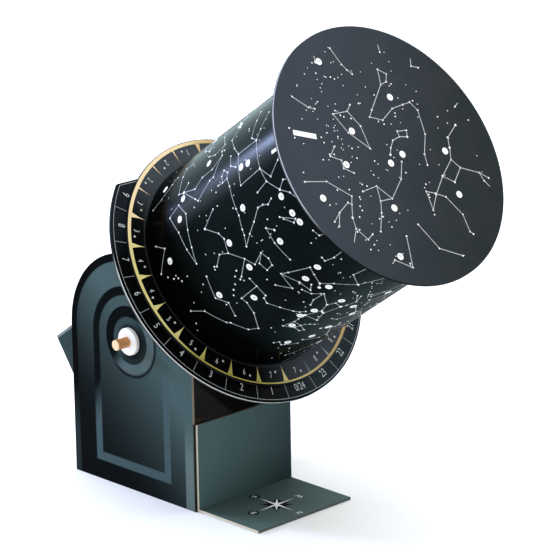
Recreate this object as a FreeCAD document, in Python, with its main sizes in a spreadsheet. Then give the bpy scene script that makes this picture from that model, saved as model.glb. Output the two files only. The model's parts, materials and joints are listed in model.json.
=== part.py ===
"""Tabletop planetarium projector in printed board, millimetres.

A stand of two round-topped walls carries a box on a wooden dowel. The box bears an hour plate, a
bearing tube and a lamp on a post. The star drum, a date ring, a shell and a star disc, turns on the tube.

Ground frame: origin on the ground under the dowel, +X along the dowel, -Y to the front, +Z up.
Cradle frame: origin on the dowel's axis, X along the dowel, Z along the polar axis to the front,
Y across it and upwards. Polar frame: the same directions, with its origin on the polar axis.
"""

import FreeCAD, Part
import math
import os
import re
import Sketcher

Vector = FreeCAD.Vector

SIZES = {
    # board and card
    "board": ("2.0", "thickness of the printed grey board"),
    "card": ("1.0", "thickness of the thin card"),
    "strip_leg": ("10.0", "width of each leg of a glue angle strip"),
    "glue_gap": ("0.2", "room left round a strip, a spigot or a tray"),
    # stand
    "stand_width": ("100.0", "outside width across the walls"),
    "wall_depth": ("134.0", "front to back length of a wall, and the diameter of its round top"),
    "pivot_height": ("118.5", "height of the dowel's axis above the ground"),
    "base_reach": ("66.0", "length of the base in front of the walls"),
    "panel_height": ("68.0", "height of the front panel's top above the ground"),
    "rear_height": ("30.0", "height of the rear panel's top above the ground"),
    # dowel
    "dowel_radius": ("4.0", "radius of the wooden dowel"),
    "dowel_reach": ("14.5", "length of dowel outside each wall"),
    "pivot_clearance": ("0.1", "radial running clearance of the dowel in the walls"),
    "washer_radius": ("10.5", "outer radius of a white washer"),
    "washer_thickness": ("3.0", "thickness of a white washer"),
    "washer_chamfer": ("0.6", "chamfer of a white washer's rim, on its outward face"),
    "face_clearance": ("0.2", "running clearance between flat faces on the dowel"),
    "spacer_side": ("18.0", "side of a square card spacer between a cheek and a wall"),
    "pivot_gap": ("1.0", "gap between a cheek and a wall"),
    # tilting box
    "latitude": ("35.0", "angle of the polar axis above the horizon, in degrees"),
    "axis_offset": ("14.0", "height of the polar axis above the dowel's axis, square to it"),
    "box_height": ("48.0", "height of the box across the polar axis"),
    "rear_length": ("82.0", "length from the dowel backwards to the box's open end"),
    "front_length": ("90.0", "length from the dowel forwards to the hour plate's back"),
    "lid_gap": ("0.3", "gap round the back lid"),
    "lid_stop": ("3.0", "width of the strips that the lid shuts against"),
    "finger_gap": ("9.0", "gap above the back lid, for a fingertip"),
    # hour plate and bearing
    "hour_radius": ("111.0", "radius of the hour plate"),
    "hour_flat": ("80.5", "distance from the polar axis to the hour plate's straight top"),
    "tube_radius": ("18.0", "outer radius of the bearing tube"),
    "bearing_clearance": ("0.1", "radial running clearance on the bearing tube"),
    "run_clearance": ("0.3", "axial running clearance of the star drum"),
    "retainer_radius": ("28.0", "distance from the polar axis to the retaining plate's sides"),
    # star drum
    "date_radius": ("98.5", "radius of the date ring"),
    "drum_radius": ("82.0", "outer radius of the drum shell"),
    "drum_length": ("184.5", "length of the drum shell"),
    "disc_radius": ("98.5", "radius of the star disc"),
    "collar_length": ("8.0", "length of a tab ring's flats along the shell"),
    "tab_count": ("24", "flats of a tab ring, each with its glue tooth"),
    "tab_length": ("8.0", "radial length of a glue tooth"),
    "tab_root": ("18.0", "width of a glue tooth at its fold"),
    "tab_tip": ("12.0", "width of a glue tooth at its end"),
    "seam_angle": ("14.0", "angle that the shell's seam strip covers, in degrees"),
    # lamp
    "lamp_setback": ("83.0", "distance of the filament behind the star disc's front"),
    "post_radius": ("6.0", "outer radius of the lamp post"),
    "post_bore": ("4.0", "radius of the lamp post's bore"),
    "socket_radius": ("7.5", "outer radius of the lamp socket"),
    "socket_bore": ("5.2", "radius of the socket's screw bore"),
    "socket_depth": ("9.0", "depth of the socket's screw bore"),
    "spigot_length": ("5.0", "length of the socket's spigot in the post"),
    "cap_radius": ("4.8", "radius of the bulb's screw cap"),
    "cap_length": ("9.0", "length of the bulb's screw cap"),
    "nub_radius": ("2.0", "radius of the bulb's end contact"),
    "nub_length": ("1.0", "length of the bulb's end contact"),
    "globe_radius": ("5.5", "radius of the bulb's tubular glass"),
    "neck_radius": ("4.2", "radius of the bulb's glass where it enters the cap"),
    "neck_drop": ("8.0", "distance of the cap's rim behind the filament"),
    "neck_length": ("4.0", "length of the bulb's neck between its cap and its globe"),
    # batteries
    "cell_radius": ("7.1", "radius of a cell"),
    "cell_length": ("49.0", "length of a cell without its button"),
    "button_radius": ("2.7", "radius of a cell's button"),
    "button_length": ("1.3", "length of a cell's button"),
    "cell_pitch": ("14.6", "distance from one cell to the next"),
    "cell_count": ("3", "cells in the tray"),
    "tray_wall": ("1.5", "wall of the battery tray"),
    "tray_height": ("12.0", "height of the battery tray"),
    "tray_setback": ("5.0", "distance of the tray in front of the box's open end"),
    "contact_thickness": ("0.5", "thickness of a contact plate"),
    "contact_height": ("9.0", "height of a contact plate"),
    # switch
    "switch_place": ("42.0", "distance of the switch in front of the dowel"),
    "switch_length": ("16.0", "length of the switch body along the dowel"),
    "switch_width": ("8.0", "width of the switch body"),
    "switch_depth": ("6.0", "depth of the switch body under the top board"),
    "switch_pocket": ("3.5", "depth of the knob's track in the switch body"),
    "switch_travel": ("4.0", "travel of the switch knob"),
    "knob_stem": ("3.0", "side of the knob's square stem"),
    "knob_length": ("7.0", "length of the knob's grip"),
    "knob_width": ("6.0", "width of the knob's grip"),
    "knob_height": ("2.5", "height of the knob's grip"),
    "knob_gap": ("0.3", "gap round the switch knob"),
    # leads
    "lead_radius": ("0.8", "radius of a lead"),
    "lead_hole": ("3.0", "radius of a lead hole in the bulkhead"),
    "lead_spread": ("20.0", "distance of a lead hole from the middle of the box"),
    "lead_run": ("7.0", "straight run of a lead before its first bend"),
    "lead_rise": ("22.0", "distance in which a lead rises past the dowel"),
    "lead_lane": ("4.0", "distance of the red lead from the middle at the switch"),
}

doc = FreeCAD.newDocument("planetarium_projector")
sheet = doc.addObject("Spreadsheet::Sheet", "Sizes")
for row, (alias, (text, meaning)) in enumerate(SIZES.items(), start=1):
    sheet.set(f"A{row}", alias)
    sheet.set(f"B{row}", text)
    sheet.set(f"C{row}", meaning)
    sheet.setAlias(f"B{row}", alias)
doc.recompute()

# Distances along the polar axis, from the dowel.
RING_BACK = "(front_length + board + run_clearance)"
RING_FRONT = f"({RING_BACK} + board)"
RETAINER_BACK = f"({RING_FRONT} + run_clearance)"
TUBE_FRONT = f"({RETAINER_BACK} + board)"
TUBE_BACK = "(front_length - board)"
DISC_BACK = f"({RING_FRONT} + drum_length)"
DISC_FRONT = f"({DISC_BACK} + board)"
LAMP = f"({DISC_FRONT} - lamp_setback)"
CAP_RIM = f"({LAMP} - neck_drop)"
CAP_END = f"({CAP_RIM} - cap_length)"
SOCKET_FLOOR = f"({CAP_END} - nub_length)"
POST_TOP = f"({SOCKET_FLOOR} - board)"

# Places across the box, in the cradle frame.
BOX_TOP = "(axis_offset + box_height / 2)"
BOX_BOTTOM = "(axis_offset - box_height / 2)"
INNER_TOP = f"({BOX_TOP} - board)"
INNER_BOTTOM = f"({BOX_BOTTOM} + board)"
CHEEK_OUTSIDE = "(stand_width / 2 - board - pivot_gap)"
CHEEK_INSIDE = f"({CHEEK_OUTSIDE} - board)"
LID_FRONT = "(-rear_length + board)"

# The battery tray.
TRAY_BACK = "(-rear_length + tray_setback)"
TRAY_BORE = "(cell_count * cell_pitch)"
TRAY_FRONT = f"({TRAY_BACK} + {TRAY_BORE} + 2 * tray_wall)"
CELL_SPAN = "(cell_length + button_length)"
TRAY_INSIDE = f"({CELL_SPAN} / 2 + contact_thickness)"
TRAY_OUTSIDE = f"({TRAY_INSIDE} + tray_wall)"
TRAY_FLOOR = f"({INNER_BOTTOM} + tray_wall)"

# The inside of the stand.
WALL_INSIDE = "(stand_width / 2 - board)"
WALL_FRONT = "(-wall_depth / 2)"
BACKER_FRONT = f"({WALL_FRONT} - card)"
PANEL_FRONT = f"({BACKER_FRONT} - board)"
REAR_INSIDE = "(wall_depth / 2 - board)"

# What is glued inside the drum shell.
COLLAR_RADIUS = "(drum_radius - card - glue_gap)"

POLAR_Y = "axis_offset * sin(latitude)"
POLAR_Z = "pivot_height + axis_offset * cos(latitude)"

# Share of a lead's shorter run that its bend takes, and the number of flats round a lead.
BEND_SHARE = 0.45
LEAD_SIDES = 6

pieces = []


def full(text):
    """Return an expression with each size named as a cell of the sheet."""
    return re.sub(r"[a-z]+(_[a-z]+)*", lambda m: "Sizes." + m[0] if m[0] in SIZES else m[0], text)


def number(text):
    """Return the present value of an expression."""
    result = sheet.evalExpression(full(text))
    return float(getattr(result, "Value", result))


def bind(item, path, text):
    """Tie a property to an expression on the sheet."""
    item.setExpression(path, full(text))


def seat(piece, frame):
    """Place a piece in the ground frame, or tip it with the cradle or the polar frame."""
    if frame == "ground":
        return
    lean = FreeCAD.Rotation(Vector(1, 0, 0), number("90 - latitude"))
    piece.Placement = FreeCAD.Placement(Vector(), lean)
    bind(piece, "Placement.Rotation.Angle", "90 - latitude")
    if frame == "cradle":
        bind(piece, "Placement.Base.z", "pivot_height")
    else:
        bind(piece, "Placement.Base.y", POLAR_Y)
        bind(piece, "Placement.Base.z", POLAR_Z)


def new_body(label, frame):
    """Start a body that is one sub-part."""
    body = doc.addObject("PartDesign::Body", label)
    body.Label = label
    seat(body, frame)
    pieces.append(body)
    return body


def origin_feature(body, role):
    return next(item for item in body.Origin.OriginFeatures if item.Role == role)


def new_sketch(body, plane, level="0"):
    """Start a sketch on one of the body's own planes, raised along the axis that it is square to."""
    sketch = body.newObject("Sketcher::SketchObject", "Profile")
    sketch.AttachmentSupport = [(origin_feature(body, plane + "_Plane"), "")]
    sketch.MapMode = "FlatFace"
    if level != "0":
        bind(sketch, "AttachmentOffset.Base.z", f"-({level})" if plane == "XZ" else level)
    return sketch


def hold(sketch, kind, text, *where):
    """Add a dimension that follows an expression."""
    index = sketch.addConstraint(Sketcher.Constraint(kind, *where, number(text)))
    bind(sketch, f"Constraints[{index}]", text)


def hold_point(sketch, curve, end, across, up):
    """Hold a point at a distance across and up from the sketch's origin."""
    for kind, axis, text in (("DistanceX", -2, across), ("DistanceY", -1, up)):
        if text == "0":
            sketch.addConstraint(Sketcher.Constraint("PointOnObject", curve, end, axis))
        else:
            hold(sketch, kind, text, -1, 1, curve, end)


def draw_polygon(sketch, corners):
    """Draw a closed outline of straight lines through corners given as pairs of expressions."""
    points = [Vector(number(across), number(up), 0) for across, up in corners]
    count = len(points)
    lines = [
        sketch.addGeometry(Part.LineSegment(points[i], points[(i + 1) % count])) for i in range(count)
    ]
    for i, line in enumerate(lines):
        sketch.addConstraint(Sketcher.Constraint("Coincident", line, 2, lines[(i + 1) % count], 1))
        hold_point(sketch, line, 1, *corners[i])


def draw_rectangle(sketch, left, right, low, high):
    draw_polygon(sketch, [(left, low), (right, low), (right, high), (left, high)])


def draw_circle(sketch, radius, across="0", up="0"):
    centre = Vector(number(across), number(up), 0)
    curve = sketch.addGeometry(Part.Circle(centre, Vector(0, 0, 1), number(radius)))
    hold_point(sketch, curve, 3, across, up)
    hold(sketch, "Radius", radius, curve)


def add_pad(body, sketch, thickness):
    """Pad a sketch towards the positive side of its plane."""
    pad = body.newObject("PartDesign::Pad", "Pad")
    pad.Profile = sketch
    pad.Reversed = sketch.AttachmentSupport[0][0].Role == "XZ_Plane"
    bind(pad, "Length", thickness)
    return pad


def add_pocket(body, sketch, depth):
    """Cut a sketch downwards from its plane, against the positive side."""
    pocket = body.newObject("PartDesign::Pocket", "Pocket")
    pocket.Profile = sketch
    pocket.Reversed = sketch.AttachmentSupport[0][0].Role == "XZ_Plane"
    bind(pocket, "Length", depth)
    return pocket


def add_revolution(body, sketch, angle="360"):
    """Turn a sketch about its upright axis."""
    turned = body.newObject("PartDesign::Revolution", "Revolution")
    turned.Profile = sketch
    turned.ReferenceAxis = (sketch, ["V_Axis"])
    turned.Midplane = True
    bind(turned, "Angle", angle)
    return turned


def box_piece(label, frame, across, along, up):
    """Make a plain board from its three spans, each a pair of expressions."""
    body = new_body(label, frame)
    sketch = new_sketch(body, "XY", up[0])
    draw_rectangle(sketch, *across, *along)
    add_pad(body, sketch, f"{up[1]} - {up[0]}")
    return body


def ring_piece(label, outer, bore, back, thickness):
    """Make a flat ring or a tube on the polar axis."""
    body = new_body(label, "polar")
    sketch = new_sketch(body, "XY", back)
    draw_circle(sketch, outer)
    draw_circle(sketch, bore)
    add_pad(body, sketch, thickness)
    return body


def angle_strip(label, plane, start, length, corner, legs):
    """Fold a strip of card to a right angle: its corner, and the signs of its two legs."""
    across, up = corner
    right, rise = legs
    body = new_body(label, "ground")
    sketch = new_sketch(body, plane, start)
    end_across = f"{across} {right} strip_leg"
    thin_across = f"{across} {right} card"
    end_up = f"{up} {rise} strip_leg"
    thin_up = f"{up} {rise} card"
    corners = [
        (across, up),
        (end_across, up),
        (end_across, thin_up),
        (thin_across, thin_up),
        (thin_across, end_up),
        (across, end_up),
    ]
    draw_polygon(sketch, corners)
    add_pad(body, sketch, length)


def make_side_wall(side, low_face):
    """A wall: straight sides, a full half circle on top, and the dowel's hole at its centre."""
    body = new_body(f"side_wall_{side}", "ground")
    sketch = new_sketch(body, "YZ", low_face)
    reach = number("wall_depth / 2")
    height = number("pivot_height")
    bottom = sketch.addGeometry(Part.LineSegment(Vector(-reach, 0, 0), Vector(reach, 0, 0)))
    rear = sketch.addGeometry(Part.LineSegment(Vector(reach, 0, 0), Vector(reach, height, 0)))
    circle = Part.Circle(Vector(0, height, 0), Vector(0, 0, 1), reach)
    arch = sketch.addGeometry(Part.ArcOfCircle(circle, 0, math.pi))
    front = sketch.addGeometry(Part.LineSegment(Vector(-reach, height, 0), Vector(-reach, 0, 0)))
    for first, second in ((bottom, rear), (rear, arch), (arch, front), (front, bottom)):
        sketch.addConstraint(Sketcher.Constraint("Coincident", first, 2, second, 1))
    hold_point(sketch, bottom, 1, WALL_FRONT, "0")
    hold_point(sketch, rear, 1, "wall_depth / 2", "0")
    hold_point(sketch, arch, 1, "wall_depth / 2", "pivot_height")
    hold_point(sketch, front, 1, WALL_FRONT, "pivot_height")
    hold(sketch, "DistanceY", "pivot_height", -1, 1, arch, 3)
    draw_circle(sketch, "dowel_radius + pivot_clearance", "0", "pivot_height")
    add_pad(body, sketch, "board")


def make_stand():
    """Base, walls, front and rear panels, and the strips that glue them together."""
    inside = (f"-{WALL_INSIDE}", WALL_INSIDE)
    whole_depth = (f"{WALL_FRONT} - base_reach", "wall_depth / 2")
    box_piece("base_plate", "ground", inside, whole_depth, ("0", "board"))
    make_side_wall("left", "-stand_width / 2")
    make_side_wall("right", WALL_INSIDE)
    make_front_backer()
    box_piece("front_panel", "ground", inside, (PANEL_FRONT, BACKER_FRONT), ("board", "panel_height"))
    box_piece("rear_panel", "ground", inside, (REAR_INSIDE, "wall_depth / 2"), ("board", "rear_height"))
    upright = "strip_leg + board + glue_gap"
    between = f"{REAR_INSIDE} - {WALL_FRONT} - 2 * strip_leg - 2 * glue_gap"
    for side, face, inward in (("left", f"-{WALL_INSIDE}", "+"), ("right", WALL_INSIDE, "-")):
        start = f"{WALL_FRONT} + strip_leg + glue_gap"
        angle_strip(f"floor_strip_{side}", "XZ", start, between, (face, "board"), (inward, "+"))
        height = f"panel_height - {upright}"
        angle_strip(f"front_strip_{side}", "XY", upright, height, (face, WALL_FRONT), (inward, "+"))
        height = f"rear_height - {upright}"
        angle_strip(f"rear_strip_{side}", "XY", upright, height, (face, REAR_INSIDE), (inward, "-"))
    width = f"2 * ({WALL_INSIDE} - glue_gap)"
    start = f"-{WALL_INSIDE} + glue_gap"
    angle_strip("front_floor_strip", "YZ", start, width, (WALL_FRONT, "board"), ("+", "+"))
    angle_strip("rear_floor_strip", "YZ", start, width, (REAR_INSIDE, "board"), ("-", "+"))


def make_front_backer():
    """The card across the walls' front edges, notched over the base."""
    body = new_body("front_backer", "ground")
    sketch = new_sketch(body, "XZ", BACKER_FRONT)
    corners = [
        ("-stand_width / 2", "0"),
        (f"-{WALL_INSIDE}", "0"),
        (f"-{WALL_INSIDE}", "board"),
        (WALL_INSIDE, "board"),
        (WALL_INSIDE, "0"),
        ("stand_width / 2", "0"),
        ("stand_width / 2", "panel_height"),
        ("-stand_width / 2", "panel_height"),
    ]
    draw_polygon(sketch, corners)
    add_pad(body, sketch, "card")


def make_cheek(side, low_face):
    """A side of the tilting box, with the dowel glued through it."""
    body = new_body(f"box_cheek_{side}", "cradle")
    sketch = new_sketch(body, "YZ", low_face)
    draw_rectangle(sketch, INNER_BOTTOM, INNER_TOP, "-rear_length", TUBE_BACK)
    draw_circle(sketch, "dowel_radius")
    add_pad(body, sketch, "board")


def make_box():
    """The tilting box: cheeks, top, bottom, front plate, bulkhead, lid stops and lid."""
    make_cheek("left", f"-{CHEEK_OUTSIDE}")
    make_cheek("right", CHEEK_INSIDE)
    full_width = (f"-{CHEEK_OUTSIDE}", CHEEK_OUTSIDE)
    inner_width = (f"-{CHEEK_INSIDE}", CHEEK_INSIDE)
    box_piece("box_bottom", "cradle", full_width, (BOX_BOTTOM, INNER_BOTTOM), ("-rear_length", TUBE_BACK))
    make_box_top()
    body = new_body("box_front", "cradle")
    sketch = new_sketch(body, "XY", TUBE_BACK)
    draw_rectangle(sketch, *full_width, BOX_BOTTOM, BOX_TOP)
    draw_circle(sketch, "tube_radius", "0", "axis_offset")
    add_pad(body, sketch, "board")
    body = new_body("bulkhead", "cradle")
    sketch = new_sketch(body, "XY", TRAY_FRONT)
    draw_rectangle(sketch, *inner_width, INNER_BOTTOM, INNER_TOP)
    for place in ("-lead_spread", "lead_spread"):
        draw_circle(sketch, "lead_hole", place, "0")
    add_pad(body, sketch, "board")
    body = new_body("lid_stops", "cradle")
    sketch = new_sketch(body, "XY", LID_FRONT)
    draw_rectangle(sketch, f"-{CHEEK_INSIDE}", f"-{CHEEK_INSIDE} + lid_stop", INNER_BOTTOM, INNER_TOP)
    draw_rectangle(sketch, f"{CHEEK_INSIDE} - lid_stop", CHEEK_INSIDE, INNER_BOTTOM, INNER_TOP)
    add_pad(body, sketch, "board")
    body = new_body("back_lid", "cradle")
    sketch = new_sketch(body, "XY", "-rear_length")
    half = f"({CHEEK_INSIDE} - lid_gap)"
    draw_rectangle(sketch, f"-{half}", half, f"{INNER_BOTTOM} + lid_gap", f"{INNER_TOP} - finger_gap")
    add_pad(body, sketch, "board")


def draw_knob_track(sketch):
    """Draw the slot that the switch knob's stem slides in."""
    half_length = "(switch_travel / 2 + knob_stem / 2 + knob_gap)"
    half_width = "(knob_stem / 2 + knob_gap)"
    near = f"switch_place - {half_width}"
    far = f"switch_place + {half_width}"
    draw_rectangle(sketch, f"-{half_length}", half_length, near, far)


def make_box_top():
    """The top board, with the slot for the switch knob."""
    body = new_body("box_top", "cradle")
    sketch = new_sketch(body, "XZ", INNER_TOP)
    draw_rectangle(sketch, f"-{CHEEK_OUTSIDE}", CHEEK_OUTSIDE, "-rear_length", TUBE_BACK)
    draw_knob_track(sketch)
    add_pad(body, sketch, "board")


def make_pivot():
    """The dowel, the white washers outside the walls and the card spacers inside them."""
    body = new_body("pivot_dowel", "cradle")
    sketch = new_sketch(body, "YZ", "-stand_width / 2 - dowel_reach")
    draw_circle(sketch, "dowel_radius")
    add_pad(body, sketch, "stand_width + 2 * dowel_reach")
    outside = "stand_width / 2 + face_clearance"
    for label, start in (("washer_left", f"-({outside}) - washer_thickness"), ("washer_right", outside)):
        body = new_body(label, "cradle")
        sketch = new_sketch(body, "YZ", start)
        draw_circle(sketch, "washer_radius")
        draw_circle(sketch, "dowel_radius")
        chamfer_rim(body, add_pad(body, sketch, "washer_thickness"), "washer_radius")
    inside = f"{WALL_INSIDE} - face_clearance"
    for label, start in (("spacer_left", f"-({inside})"), ("spacer_right", CHEEK_OUTSIDE)):
        body = new_body(label, "cradle")
        sketch = new_sketch(body, "YZ", start)
        half = "spacer_side / 2"
        draw_rectangle(sketch, f"-{half}", half, f"-{half}", half)
        draw_circle(sketch, "dowel_radius")
        add_pad(body, sketch, "pivot_gap - face_clearance")


def chamfer_rim(body, pad, radius):
    """Chamfer the rim of a washer's outward face, the one further along the dowel."""
    doc.recompute()
    rim = number(radius)
    rims = {}
    for i, edge in enumerate(pad.Shape.Edges, start=1):
        if isinstance(edge.Curve, Part.Circle) and math.isclose(edge.Curve.Radius, rim):
            rims[abs(edge.Curve.Center.x)] = f"Edge{i}"
    chamfer = body.newObject("PartDesign::Chamfer", "Chamfer")
    chamfer.Base = (pad, [rims[max(rims)]])
    bind(chamfer, "Size", "washer_chamfer")


def make_hour_plate():
    """A round plate with its top cut off straight, and a hole for the bearing tube."""
    body = new_body("hour_plate", "polar")
    sketch = new_sketch(body, "XY", "front_length")
    radius = number("hour_radius")
    flat = number("hour_flat")
    half_chord = math.sqrt(radius * radius - flat * flat)
    lift = math.asin(flat / radius)
    circle = Part.Circle(Vector(), Vector(0, 0, 1), radius)
    rim = sketch.addGeometry(Part.ArcOfCircle(circle, math.pi - lift, 2 * math.pi + lift))
    chord = sketch.addGeometry(Part.LineSegment(Vector(half_chord, flat, 0), Vector(-half_chord, flat, 0)))
    hold_point(sketch, rim, 3, "0", "0")
    hold(sketch, "Radius", "hour_radius", rim)
    sketch.addConstraint(Sketcher.Constraint("Coincident", rim, 2, chord, 1))
    sketch.addConstraint(Sketcher.Constraint("Coincident", chord, 2, rim, 1))
    sketch.addConstraint(Sketcher.Constraint("Horizontal", chord))
    hold(sketch, "DistanceY", "hour_flat", -1, 1, chord, 1)
    draw_circle(sketch, "tube_radius")
    add_pad(body, sketch, "board")


def make_bearing():
    """The tube that the star drum turns on, its plug, and the board that keeps the drum on it."""
    ring_piece("bearing_tube", "tube_radius", "tube_radius - board", TUBE_BACK, f"{TUBE_FRONT} - {TUBE_BACK}")
    ring_piece("tube_plug", "tube_radius - board", "post_radius", TUBE_BACK, f"{TUBE_FRONT} - {TUBE_BACK}")
    make_retainer()


def make_retainer():
    """An eight-sided board, cut by hand, glued round the end of the tube in front of the date ring."""
    body = new_body("retaining_ring", "polar")
    sketch = new_sketch(body, "XY", RETAINER_BACK)
    side = "retainer_radius"
    half = f"({side} * tan(22.5))"
    corners = [
        (side, f"-{half}"),
        (side, half),
        (half, side),
        (f"-{half}", side),
        (f"-{side}", half),
        (f"-{side}", f"-{half}"),
        (f"-{half}", f"-{side}"),
        (half, f"-{side}"),
    ]
    draw_polygon(sketch, corners)
    draw_circle(sketch, "tube_radius")
    add_pad(body, sketch, "board")


def make_lamp():
    """The hollow post, the socket on it and the small screw bulb."""
    ring_piece("lamp_post", "post_radius", "post_bore", TUBE_BACK, f"{POST_TOP} - {TUBE_BACK}")
    body = new_body("lamp_socket", "polar")
    sketch = new_sketch(body, "XZ")
    inner = "post_bore - glue_gap"
    profile = [
        ("0", f"{POST_TOP} - spigot_length"),
        (inner, f"{POST_TOP} - spigot_length"),
        (inner, POST_TOP),
        ("socket_radius", POST_TOP),
        ("socket_radius", f"{SOCKET_FLOOR} + socket_depth"),
        ("socket_bore", f"{SOCKET_FLOOR} + socket_depth"),
        ("socket_bore", SOCKET_FLOOR),
        ("0", SOCKET_FLOOR),
    ]
    draw_polygon(sketch, profile)
    add_revolution(body, sketch)
    body = new_body("bulb_cap", "polar")
    sketch = new_sketch(body, "XZ")
    profile = [
        ("0", SOCKET_FLOOR),
        ("nub_radius", SOCKET_FLOOR),
        ("nub_radius", CAP_END),
        ("cap_radius", CAP_END),
        ("cap_radius", CAP_RIM),
        ("0", CAP_RIM),
    ]
    draw_polygon(sketch, profile)
    add_revolution(body, sketch)
    body = new_body("bulb_glass", "polar")
    sketch = new_sketch(body, "XZ")
    profile = [
        ("0", CAP_RIM),
        ("neck_radius", CAP_RIM),
        ("neck_radius", f"{CAP_RIM} + neck_length"),
        ("globe_radius", f"{CAP_RIM} + neck_length"),
        ("globe_radius", f"{LAMP} + globe_radius"),
        ("0", f"{LAMP} + globe_radius"),
    ]
    draw_polygon(sketch, profile)
    add_revolution(body, sketch)


def make_tab_ring(label, collar_back, tooth_back):
    """A strip scored into flats, glued round inside the shell, each flat with a tooth folded inwards."""
    body = new_body(label, "polar")
    sketch = new_sketch(body, "XY", collar_back)
    outside = f"({COLLAR_RADIUS} * cos(180 / tab_count))"
    inside = f"({outside} - card)"
    half_outside = f"({outside} * tan(180 / tab_count))"
    half_inside = f"({inside} * tan(180 / tab_count))"
    corners = [
        (f"-{half_outside}", outside),
        (half_outside, outside),
        (half_inside, inside),
        (f"-{half_inside}", inside),
    ]
    draw_polygon(sketch, corners)
    flat = add_pad(body, sketch, "collar_length")
    sketch = new_sketch(body, "XY", tooth_back)
    corners = [
        ("-tab_root / 2", inside),
        ("tab_root / 2", inside),
        ("tab_tip / 2", f"{inside} - tab_length"),
        ("-tab_tip / 2", f"{inside} - tab_length"),
    ]
    draw_polygon(sketch, corners)
    tooth = add_pad(body, sketch, "card")
    ring = body.newObject("PartDesign::PolarPattern", "Ring")
    ring.Originals = [flat, tooth]
    ring.Axis = (origin_feature(body, "Z_Axis"), [""])
    ring.Angle = 360
    bind(ring, "Occurrences", "tab_count")
    body.Tip = ring


def make_drum():
    """Date ring, shell, seam strip, glue teeth and star disc."""
    bore = "tube_radius + bearing_clearance"
    ring_piece("date_ring", "date_radius", bore, RING_BACK, "board")
    ring_piece("drum_shell", "drum_radius", "drum_radius - card", RING_FRONT, "drum_length")
    make_tab_ring("rear_tab_ring", RING_FRONT, RING_FRONT)
    make_tab_ring("front_tab_ring", f"{DISC_BACK} - collar_length", f"{DISC_BACK} - card")
    body = new_body("drum_seam", "polar")
    sketch = new_sketch(body, "XZ")
    low = f"{RING_FRONT} + collar_length"
    high = f"{DISC_BACK} - collar_length"
    draw_rectangle(sketch, f"{COLLAR_RADIUS} - card", COLLAR_RADIUS, low, high)
    add_revolution(body, sketch, "seam_angle")
    body = new_body("star_disc", "polar")
    sketch = new_sketch(body, "XY", DISC_BACK)
    draw_circle(sketch, "disc_radius")
    add_pad(body, sketch, "board")


def make_batteries():
    """A tray on the box's bottom board, its cells in a row and the contact plates at their ends."""
    body = new_body("battery_tray", "cradle")
    sketch = new_sketch(body, "XZ", INNER_BOTTOM)
    draw_rectangle(sketch, f"-{TRAY_OUTSIDE}", TRAY_OUTSIDE, TRAY_BACK, TRAY_FRONT)
    add_pad(body, sketch, "tray_height")
    sketch = new_sketch(body, "XZ", f"{INNER_BOTTOM} + tray_height")
    near = f"{TRAY_BACK} + tray_wall"
    far = f"{TRAY_FRONT} - tray_wall"
    draw_rectangle(sketch, f"-{TRAY_INSIDE}", TRAY_INSIDE, near, far)
    add_pocket(body, sketch, "tray_height - tray_wall")
    body = new_body("battery_cells", "cradle")
    first = f"{TRAY_BACK} + tray_wall + cell_pitch / 2"
    sketch = new_sketch(body, "YZ", f"-{CELL_SPAN} / 2")
    middle = f"{TRAY_FLOOR} + cell_radius"
    draw_circle(sketch, "cell_radius", middle, first)
    can = add_pad(body, sketch, "cell_length")
    sketch = new_sketch(body, "YZ", f"{CELL_SPAN} / 2 - button_length")
    draw_circle(sketch, "button_radius", middle, first)
    button = add_pad(body, sketch, "button_length")
    row = body.newObject("PartDesign::LinearPattern", "Row")
    row.Originals = [can, button]
    row.Direction = (origin_feature(body, "Z_Axis"), [""])
    bind(row, "Length", "(cell_count - 1) * cell_pitch")
    bind(row, "Occurrences", "cell_count")
    body.Tip = row
    body = new_body("battery_contacts", "cradle")
    sketch = new_sketch(body, "XZ", TRAY_FLOOR)
    far_edge = f"{TRAY_BACK} + tray_wall + {TRAY_BORE}"
    draw_rectangle(sketch, f"-{TRAY_INSIDE}", f"-{TRAY_INSIDE} + contact_thickness", near, far_edge)
    draw_rectangle(sketch, f"{TRAY_INSIDE} - contact_thickness", TRAY_INSIDE, near, far_edge)
    add_pad(body, sketch, "contact_height")


def make_switch():
    """A slide switch under the top board, and its knob in the slot."""
    body = new_body("switch_body", "cradle")
    sketch = new_sketch(body, "XZ", f"{INNER_TOP} - switch_depth")
    near = "switch_place - switch_width / 2"
    far = "switch_place + switch_width / 2"
    draw_rectangle(sketch, "-switch_length / 2", "switch_length / 2", near, far)
    add_pad(body, sketch, "switch_depth")
    sketch = new_sketch(body, "XZ", INNER_TOP)
    draw_knob_track(sketch)
    add_pocket(body, sketch, "switch_pocket")
    body = new_body("switch_knob", "cradle")
    sketch = new_sketch(body, "XZ", f"{INNER_TOP} - switch_pocket + knob_gap")
    left = "(-switch_travel / 2 - knob_stem / 2)"
    near = "switch_place - knob_stem / 2"
    far = "switch_place + knob_stem / 2"
    draw_rectangle(sketch, left, f"{left} + knob_stem", near, far)
    add_pad(body, sketch, "switch_pocket + board")
    sketch = new_sketch(body, "XZ", f"{BOX_TOP} + knob_gap")
    middle = "-switch_travel / 2"
    near = "switch_place - knob_width / 2"
    far = "switch_place + knob_width / 2"
    draw_rectangle(sketch, f"{middle} - knob_length / 2", f"{middle} + knob_length / 2", near, far)
    add_pad(body, sketch, "knob_height")


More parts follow.
